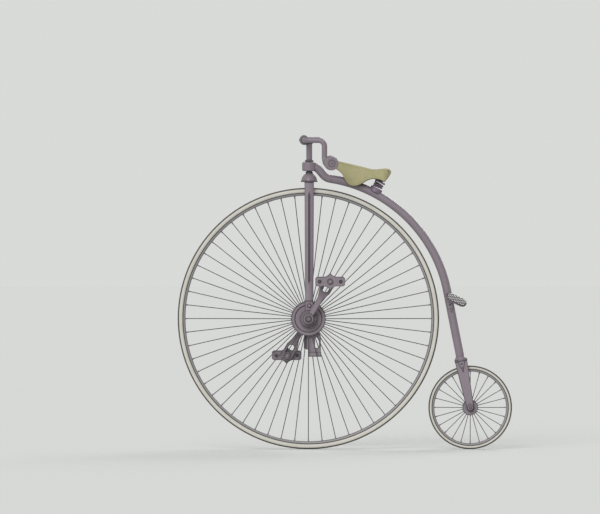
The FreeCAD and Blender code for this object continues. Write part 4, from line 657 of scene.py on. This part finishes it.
def oilCap(radius, height):
    # a spring-lidded oiler: washer, neck and flanged lid
    return lathe([(0, -2), (radius * 1.15, -2), (radius * 1.15, height * 0.14),
                  (radius * 0.7, height * 0.2), (radius * 0.7, height * 0.45), (radius, height * 0.52),
                  (radius, height * 0.74), (radius * 0.86, height * 0.86), (radius * 0.4, height),
                  (0, height)], 20)


def placeFrom(base, x, y, z):
    # a place given in millimetres from a base point
    return base + Vector((x, y, z)) * mm


# millimetres: a spoke starts at radius inner, flange to its side, and ends at radius outer, offset to
# the same side; wire is its radius, nipple and seat are how tall its ends' fittings are
wheelLook = {
    "front": {"hub": frontHub, "count": 56, "inner": 83.2, "outer": 596.9, "flange": 48, "offset": 3.5,
              "wire": 2.0},
    "rear": {"hub": rearHub, "count": 24, "inner": 37.2, "outer": 174.1, "flange": 22, "offset": 2.5,
             "wire": 1.7},
    "nipple": 12.0, "seat": 5.0, "sides": 8,
}


def makeSpokeEnds(wheel):
    # a nipple where each spoke meets the rim and a threaded seat where it leaves the flange
    look = wheelLook[wheel]
    wire, nipple, seat = look["wire"], wheelLook["nipple"], wheelLook["seat"]
    tips, roots = [], []
    for k in range(look["count"]):
        angle = math.tau * k / look["count"]
        out = Vector((math.sin(angle), 0, math.cos(angle)))
        side = 1 if k % 2 == 0 else -1
        root = look["hub"] + (out * look["inner"] + left * side * look["flange"]) * mm
        tip = look["hub"] + (out * look["outer"] + left * side * look["offset"]) * mm
        tips.append(standing(tip, root - tip))
        roots.append(standing(root, tip - root))
    barrel = lathe([(0, -1.2), (wire + 1.9, -1.2), (wire + 1.9, 1.5), (wire + 1.2, 2.6),
                    (wire + 1.2, nipple - 3), (wire + 0.25, nipple), (0, nipple)], wheelLook["sides"])
    collar = lathe([(0, -1.6), (wire + 1.7, -1.6), (wire + 1.7, 1.2), (wire + 1.0, 2.0),
                    (wire + 1.0, seat - 1), (wire + 0.25, seat), (0, seat)], wheelLook["sides"])
    addPiece(wheel + "Nipples", [(barrel, tips), (collar, roots)], boltSteel, wheel + "_wheel",
             45)


for wheel in ("front", "rear"):
    makeSpokeEnds(wheel)
print("spoke nipples set")


# oilers stand on the hub barrels and on the back of the bearing cases; millimetres and degrees
hubLook = {"barrel": 21.5, "barrelSide": 31, "rearBarrel": 12.6, "caseRadius": 41, "caseSide": 72,
           "caseTurn": 205.0, "back": (-1, 0, 0.35), "cap": 4.2, "tall": 9.0}


def addOilers(name, places, body):
    # one piece of spring-lidded oilers
    cap = oilCap(hubLook["cap"], hubLook["tall"])
    addPiece(name, [(cap, places)], boltSteel, body)


def makeHubTrim():
    # one oiler on each hub and one on each bearing case
    look = hubLook
    back = Vector(look["back"]).normalized()
    barrel = frontHub + (back * look["barrel"] + left * look["barrelSide"]) * mm
    addOilers("frontHubOiler", [standing(barrel, back)], "front_wheel")
    addOilers("rearHubOiler", [standing(rearHub + back * look["rearBarrel"] * mm, back)], "rear_wheel")
    turn = math.radians(look["caseTurn"])
    away = Vector((math.cos(turn), 0, math.sin(turn)))
    cases = [standing(frontHub + (away * look["caseRadius"] + left * side * look["caseSide"]) * mm, away)
             for side in (-1, 1)]
    addOilers("caseOilers", cases, "front_fork")


makeHubTrim()
print("oilers set")


# millimetres: the rods run rodReach before and behind the pedal's middle
pedalLook = {"rodReach": 51.0, "screw": 5.6, "tall": 1.7, "slot": 1.4, "recess": 3.0,
             "nut": 9.5, "nutTall": 3.0}


def makePedalTrim(side, sign):
    # slotted screws down in the outer plate's recesses, nuts behind the inner plate
    look, middle = pedalLook, pedalMiddles[side]
    low, high = (Vector(v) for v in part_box("pedal_cage_" + side))
    outer, inner = (high.y, low.y) if sign > 0 else (low.y, high.y)
    out = left * sign
    floors, backs = [], []
    for way in (-1, 1):
        rod = middle.x + way * look["rodReach"] * mm
        floor = Vector((rod, outer - sign * look["recess"] * mm, middle.z))
        floors.append(standing(floor, out, (1, 0, way * 0.8)))
        backs.append(standing(Vector((rod, inner, middle.z)), -out, (1, 0, way * 0.3)))
    screw = screwHead(look["screw"], look["tall"], look["slot"])
    nut = hexHead(look["nut"], look["nutTall"])
    addPiece(side + "PedalScrews", [(screw, floors), (nut, backs)], darkBolt, "pedal_" + side)


for side, sign in (("left", 1), ("right", -1)):
    makePedalTrim(side, sign)
print("pedal screws set")


# millimetres and degrees, from the foot of the steering axis; a screw is its radius, height and slot
forkLook = {"lugForward": 23.0, "barHeight": 867.0, "ball": 25.0, "screw": (5.2, 2.2, 1.4),
            "gripStart": 246.0, "gripSlant": 13.4, "gripNeck": 17.0,
            "ferrule": 18.6, "ferruleBore": 12.6, "ferruleWide": 7.0,
            "headRadius": 35.0, "headMiddle": 738.0, "oiler": (4.6, 9), "oilerWay": (0, -1, 0.25),
            "screwSunk": 0.6, "oilerSunk": 0.8}


def makeSteeringTrim():
    # a set screw in front of the handlebar's lug, a ferrule on each grip, an oiler on the head
    look = forkLook
    front = look["lugForward"] + look["ball"] - look["screwSunk"]
    ball = placeFrom(steerFoot, front, 0, look["barHeight"])
    addPiece("lugSetScrew", [(screwHead(*look["screw"]), [standing(ball, (1, 0, 0))])], darkBolt,
             "front_fork")
    # a turned ferrule closes each grip's neck
    ferrules = []
    slant = math.radians(look["gripSlant"])
    for side, node in ((1, "grip_left"), (-1, "grip_right")):
        along = Vector((-math.sin(slant), side * math.cos(slant), 0))
        low, high = (Vector(v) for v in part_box(node))
        neck = high.x - look["gripNeck"] * math.cos(slant) * mm
        start = Vector((neck, side * look["gripStart"] * mm, (low.z + high.z) / 2))
        ferrules.append(standing(start, along))
    bore, wide, big = look["ferruleBore"], look["ferruleWide"], look["ferrule"]
    ring = lathe([(bore, -1.5), (big - 2.4, -1.5), (big - 1.2, 0), (big, 1.6), (big, wide - 1.4),
                  (big - 1, wide), (bore, wide), (bore, -1.5)], 36)
    addPiece("gripFerrules", [(ring, ferrules)], boltSteel, "front_fork")
    head = placeFrom(steerFoot, 0, look["oilerSunk"] - look["headRadius"], look["headMiddle"])
    addPiece("headOiler", [(oilCap(*look["oiler"]), [standing(head, look["oilerWay"])])], boltSteel,
             "backbone")


makeSteeringTrim()
print("steering trim set")


# millimetres from the rear hub up the straight run of the backbone; bolts and padScrews are rows of
# height and radius, the screws' heights taken from the step
rearLook = {"arcGap": 52.0, "bladeTop": 229.5, "topOut": 28.0, "footOut": 40.0, "foot": 26.0,
            "tang": 3.0, "bolts": ((216.0, 4.6), (196.0, 3.4)), "rivetTall": 1.6,
            "stepAt": 532.0, "padOut": 26.0, "padScrews": ((-24.0, 4.2), (-43.0, 3.4)),
            "screwTall": 1.0, "screwSlot": 1.1}
across, rise = frontHub.x - rearHub.x, frontHub.z - rearHub.z
arcReach = frontRadius + rearLook["arcGap"] * mm
rearLean = math.atan2(across, rise) - math.asin(arcReach / math.hypot(across, rise))
runUp = Vector((math.sin(rearLean), 0, math.cos(rearLean)))


def makeRearTrim():
    # rivets through the fork's pointed tangs and countersunk screws in the step's pad
    look = rearLook
    slope = (look["footOut"] - look["topOut"]) / (look["bladeTop"] - look["foot"])
    for height, radius in look["bolts"]:
        away = look["topOut"] + look["tang"] + (look["bladeTop"] - height) * slope
        heads = [standing(rearHub + (runUp * height + left * side * away) * mm,
                          left * side + runUp * slope) for side in (-1, 1)]
        addPiece("tangRivets%d" % height, [(rivet(radius, look["rivetTall"]), heads)], darkBolt,
                 "backbone")
    screws = []
    for below, radius in look["padScrews"]:
        at = rearHub + (runUp * (look["stepAt"] + below) + left * look["padOut"]) * mm
        head = screwHead(radius, look["screwTall"], look["screwSlot"])
        screws.append((head, [standing(at, left, runUp)]))
    addPiece("stepPadScrews", screws, darkBolt, "backbone")


makeRearTrim()
print("frame screws and rivets set, lean", round(math.degrees(rearLean), 2))


# millimetres from the front hub: places are (forward, up), sides are how far out,
# blocks are (long, wide, high, rounding) and a rivet is its radius, height and steps
lampLook = {"louvreSide": 27.0, "louvreForward": -31.0, "louvreUps": (-57.0, -65.0, -73.0),
            "louvre": (27.0, 3.6, 4.2, 1.2),
            "beadSide": 26.6, "beadAt": (-58.5, -124), "bead": (3.0, 2.2, 76, 0.8),
            "hoodSide": 25.0, "hoodRivets": ((6, -96), (6, -118), (6, -140)), "rivet": (1.8, 1.0, 10),
            "fillerSide": 28.8, "fillerAt": (-46.0, -174.0), "filler": (5.4, 1.6, 1.4),
            "knobSide": 29.0, "knobAt": (-30.0, -174.0)}


def makeLampTrim():
    # louvres and door beads on the lamp's cheeks, hood rivets, wick knob and filler screw
    look = lampLook

    sides = (-1, 1)

    def onLamp(at, out):
        # a place given forward and up, and out to the left
        return placeFrom(frontHub, at[0], out, at[1])

    louvres = [Matrix.Translation(onLamp((look["louvreForward"], high), side * look["louvreSide"]))
               for side in sides for high in look["louvreUps"]]
    beads = [Matrix.Translation(onLamp(look["beadAt"], side * look["beadSide"])) for side in sides]
    addPiece("lampLouvres", [(softBox(*look["louvre"]), louvres), (softBox(*look["bead"]), beads)],
             enamel, "hub_lamp")
    rivets = [standing(onLamp(at, side * look["hoodSide"]), left * side)
              for at in look["hoodRivets"] for side in sides]
    knob = lathe([(0, -1), (2.6, -1), (2.6, 0.8), (6.2, 1.0), (6.6, 1.4), (6.6, 3.0), (6.0, 3.5),
                  (0, 3.5)], 20)
    knobPlace = standing(onLamp(look["knobAt"], -look["knobSide"]), -left)
    filler = standing(onLamp(look["fillerAt"], look["fillerSide"]), left)
    addPiece("lampFittings", [(rivet(*look["rivet"]), rivets), (knob, [knobPlace]),
                              (screwHead(*look["filler"]), [filler])],
             boltSteel, "hub_lamp")


makeLampTrim()
print("lamp fittings set")


saddleLook = {
    # along the seat from nose to tail, in millimetres:
    # rim forward, rim up, skirt forward, skirt up, half width, hollow
    "stations": [
        (195.5, 24, 193, 18, 8, 0), (194, 34, 190, 11, 16, 0), (186, 42.5, 184, 4, 24, 0),
        (170, 42.6, 169, -6, 29, 0), (152, 38.8, 152, -24, 33, 0), (138, 35.4, 139, -53, 35, 0),
        (121, 31.4, 122, -73.5, 37, 0), (100, 26.6, 100, -79.5, 41, 0), (82, 22.5, 82, -77.5, 44, 0),
        (62, 18, 62, -69, 48, 0), (39, 13.2, 39, -54.5, 57, 0.5), (22, 9.6, 20, -46, 66, 1.2),
        (4, 6.8, 2, -43.5, 78, 2.8), (-16, 8.0, -17, -45.5, 91, 6.0), (-36, 12.0, -36, -51, 98.5, 9.2),
        (-51, 15.0, -50, -58.5, 98, 11.2), (-64, 14.6, -60, -49, 93, 10.8),
        (-74.5, 9.5, -69, -38, 84, 8.4), (-82, 0, -76.5, -27, 73, 4), (-84, -9, -81.5, -18, 62, 0),
    ],
    # the flat leather that it is pressed from: widest girth and length over the top in metres, its area
    "blank": (0.310, 0.302), "blankArea": 0.0663,
    # the grid's faces, then how square each section is at its shoulders and down its sides
    "along": 61, "across": 36, "samples": 120, "shoulder": 0.56, "drop": 0.52, "tailDrop": 0.22,
    "tailFrom": 0.5, "tailTo": 0.72, "thick": 5.0, "edgeRound": 1.4, "edgeAngle": 60,
}


def alongStations(share):
    # smooth values between the stations, share running 0 to 1 from nose to tail
    rows = saddleLook["stations"]
    place = min(max(share, 0.0), 1.0) * (len(rows) - 1)
    k = min(int(place), len(rows) - 2)
    t = place - k
    before, start, end, after = (rows[min(max(k + d, 0), len(rows) - 1)] for d in (-1, 0, 1, 2))
    return [0.5 * (2 * b + (c - a) * t + (2 * a - 5 * b + 4 * c - d) * t * t
                   + (3 * b - a - 3 * c + d) * t ** 3) for a, b, c, d in zip(before, start, end, after)]


sections = {}


def halfSection(share):
    # the hide's left half across the seat, from the middle out and down to the skirt's edge
    if share not in sections:
        look = saddleLook
        rimX, rimZ, lowX, lowZ, half, hollow = alongStations(share)
        toTail = min(max((share - look["tailFrom"]) / (look["tailTo"] - look["tailFrom"]), 0), 1)
        drop = look["drop"] + (look["tailDrop"] - look["drop"]) * toTail
        line, reach = [], [0.0]
        for k in range(look["samples"] + 1):
            angle = math.pi / 2 * k / look["samples"]
            wide = math.sin(angle) ** look["shoulder"]
            high = max(math.cos(angle), 0.0) ** drop if k < look["samples"] else 0.0
            z = lowZ + (rimZ - lowZ) * high - hollow * (1 - wide ** 2) * high
            line.append(Vector((lowX + (rimX - lowX) * high, half * wide, z)) * mm)
        for a, b in zip(line, line[1:]):
            reach.append(reach[-1] + (b - a).length)
        sections[share] = line, reach
    return sections[share]


def saddleSpot(share, side):
    # a point of the hide: side runs -1 to 1 from the right skirt's edge over the top to the left one's
    line, reach = halfSection(share)
    wanted = abs(side) * reach[-1]
    k = next((i for i in range(1, len(reach) - 1) if reach[i] >= wanted), len(reach) - 1)
    point = line[k - 1].lerp(line[k], (wanted - reach[k - 1]) / (reach[k] - reach[k - 1]))
    return Vector((point.x, math.copysign(point.y, side), point.z))


def makeSaddle():
    # a grid bent over the sections, each point knowing how far it is from the hide's edge
    look = saddleLook
    bm = bmesh.new()
    bmesh.ops.create_grid(bm, x_segments=look["along"], y_segments=look["across"], size=1)
    fromEdge = bm.verts.layers.float.new("fromEdge")
    rows = {}
    for vert in bm.verts:
        share, side = (vert.co.x + 1) / 2, vert.co.y
        rows[(round(share * look["along"]), round((side + 1) * look["across"] / 2))] = vert
        vert.co = saddleSpot(share, side)

    def measure(line):
        # how far each point of a line of the grid is from the nearer end of the line
        reach = [0.0]
        for a, b in zip(line, line[1:]):
            reach.append(reach[-1] + (b.co - a.co).length)
        return [min(r, reach[-1] - r) for r in reach]

    for vert in bm.verts:
        vert[fromEdge] = 1.0
    for key in (0, 1):
        for k in sorted({place[key] for place in rows}):
            line = [rows[place] for place in sorted(rows) if place[key] == k]
            for vert, reach in zip(line, measure(line)):
                vert[fromEdge] = min(vert[fromEdge], reach)
    hide = meshFrom(bm, "saddleHide", leather, 180)
    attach(hide, "backbone")
    wall = hide.modifiers.new("thickness", "SOLIDIFY")
    wall.thickness, wall.offset, wall.use_even_offset = look["thick"] * mm, -1, False
    edge = hide.modifiers.new("softEdge", "BEVEL")
    edge.width, edge.segments = look["edgeRound"] * mm, 2
    edge.limit_method, edge.angle_limit = "ANGLE", math.radians(look["edgeAngle"])
    smoothing = hide.modifiers.new("smoothing", "SUBSURF")
    smoothing.levels = smoothing.render_levels = 1
    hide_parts("saddle_leather")
    return hide


hide = makeSaddle()
print("saddle hide area", round(sum(face.area for face in hide.data.polygons), 4))


saddleTrimLook = {
    # rivets: their radius, then each one's share from nose to tail and side from -1 right to 1 left
    "noseRivets": (3.9, ((0.062, 0.0), (0.105, -0.42), (0.105, 0.42))),
    "cantleRivets": (4.4, ((0.93, -0.80), (0.945, -0.5), (0.95, -0.16), (0.95, 0.16), (0.945, 0.5),
                           (0.93, 0.80))),
    # millimetres: the search for the hide's outer face starts this far outside it,
    # away from a line this high along the seat
    "outside": 20, "core": -50,
    # the tension bolt and its nuts, the lug under the nose, the clip's bolts
    "bolt": 3.2, "boltFrom": -5, "boltTo": 33, "boltAt": (137, 0, 17), "nut": (13, 5), "nuts": (0, 20),
    "lug": (9, 16, 15, 2), "lugAt": (167, 0, 20.5),
    "clipForward": 125, "clipSide": 13, "clipUp": -6, "clipHead": (14, 5), "clipWasher": (8.4, 0.9),
}


def makeSaddleTrim():
    # copper rivets at nose and cantle, set down on the finished surface of the hide
    look = saddleTrimLook
    tree = BVHTree.FromObject(hide, bpy.context.evaluated_depsgraph_get())
    for name in ("noseRivets", "cantleRivets"):
        radius, places = look[name]
        heads = []
        for share, side in places:
            at = saddleSpot(share, side)
            away = (at - Vector((at.x, 0, look["core"] * mm))).normalized()
            surface, normal, _, _ = tree.find_nearest(at + away * look["outside"] * mm)
            heads.append(standing(surface, normal))
        head = lathe([(0, -1.4), (radius, -1.4), (radius, 0.5), (radius * 0.86, 1.0), (radius * 0.4, 1.2),
                      (0, 1.2)], 20)
        addPiece(name, [(head, heads)], copper, "backbone")
    # the tension bolt runs between the clip and the lug under the nose
    rod = lathe([(0, look["boltFrom"]), (look["bolt"], look["boltFrom"]), (look["bolt"], look["boltTo"]),
                 (0, look["boltTo"])], 14)
    start = Vector(look["boltAt"]) * mm
    places = [standing(start + Vector((forward, 0, 0)) * mm, (1, 0, 0)) for forward in look["nuts"]]
    addPiece("tensionBolt", [(rod, places[:1]), (hexHead(*look["nut"]), places)], boltSteel, "backbone")
    lugPlace = Matrix.Translation(Vector(look["lugAt"]) * mm)
    addPiece("noseLug", [(softBox(*look["lug"]), [lugPlace])], springSteel, "backbone")
    clamps = [standing(Vector((look["clipForward"], side * look["clipSide"], look["clipUp"])) * mm,
                       left * side) for side in (-1, 1)]
    addPiece("clipBolts", [(hexHead(*look["clipHead"]), clamps), (rivet(*look["clipWasher"]), clamps)],
             boltSteel, "backbone")


makeSaddleTrim()
print("saddle rivets and bolts set")


# the camera is far off with a long lens, so its view is nearly parallel; metres and degrees
studio = {
    "backdrop": (0.694, 0.704, 0.686), "sky": 0.36, "softness": 36.0,
    "lights": (("keyLight", 2.15, (0.28, 0.80, 0.50)), ("rearLight", 1.85, (-0.35, -0.75, 0.5))),
    "floorTone": 0.675, "floorRadius": 40,
    "target": (0.3588, 0, -0.4233), "elevation": 1.0, "distance": 60.0, "across": 2.914,
    "clip": (0.1, 200),
}


def makeStudio():
    # even light from the sky; the backdrop's colour where it is seen, mirrored or looked at through glass
    world = Finish(bpy.data.worlds.new("studio"))
    bpy.context.scene.world = world.owner
    ray = [world.node("ShaderNodeLightPath", {}, {}, name)
           for name in ("Is Camera Ray", "Is Glossy Ray", "Is Transmission Ray")]
    seen = ray[0].most(ray[1]).most(ray[2])
    lit = world.node("ShaderNodeBackground", {}, {"Color": (1, 1, 1, 1), "Strength": studio["sky"]})
    shown = world.node("ShaderNodeBackground", {}, {"Color": (*studio["backdrop"], 1), "Strength": 1.0})
    both = world.node("ShaderNodeMixShader", {}, {0: seen, 1: lit, 2: shown})
    world.node("ShaderNodeOutputWorld", {}, {"Surface": both})

    for name, strength, aim in studio["lights"]:
        lamp = bpy.data.lights.new(name, "SUN")
        lamp.energy, lamp.angle = strength, math.radians(studio["softness"])
        holder = bpy.data.objects.new(name, lamp)
        holder.rotation_euler = Vector(aim).to_track_quat("Z", "Y").to_euler()
        bpy.context.collection.objects.link(holder)

    floor = bmesh.new()
    bmesh.ops.create_circle(floor, cap_ends=True, segments=96, radius=studio["floorRadius"])
    bmesh.ops.translate(floor, verts=floor.verts, vec=(0, 0, ground))
    f = newFinish("floorPaint")
    cloud = f.noise(f.place(), 1.3, 3.0)
    grey = studio["floorTone"]
    tone = f.blend(cloud, (grey * 0.995, grey * 1.01, grey * 0.985), (grey, grey * 1.015, grey * 0.99))
    f.finish(Base_Color=tone, Roughness=0.9, Specular_IOR_Level=0.0)
    made = meshFrom(floor, "floor", f.owner)

    camera = bpy.data.cameras.new("sideView")
    camera.lens = camera.sensor_width * studio["distance"] / studio["across"]
    camera.clip_start, camera.clip_end = studio["clip"]
    holder = bpy.data.objects.new("sideView", camera)
    tilt = math.radians(studio["elevation"])
    back = Vector((0, math.cos(tilt), math.sin(tilt)))
    holder.location = Vector(studio["target"]) + back * studio["distance"]
    holder.rotation_euler = back.to_track_quat("Z", "Y").to_euler()
    bpy.context.collection.objects.link(holder)
    bpy.context.scene.camera = holder
    bpy.context.scene.view_settings.view_transform = "Standard"


makeStudio()
print("studio ready")
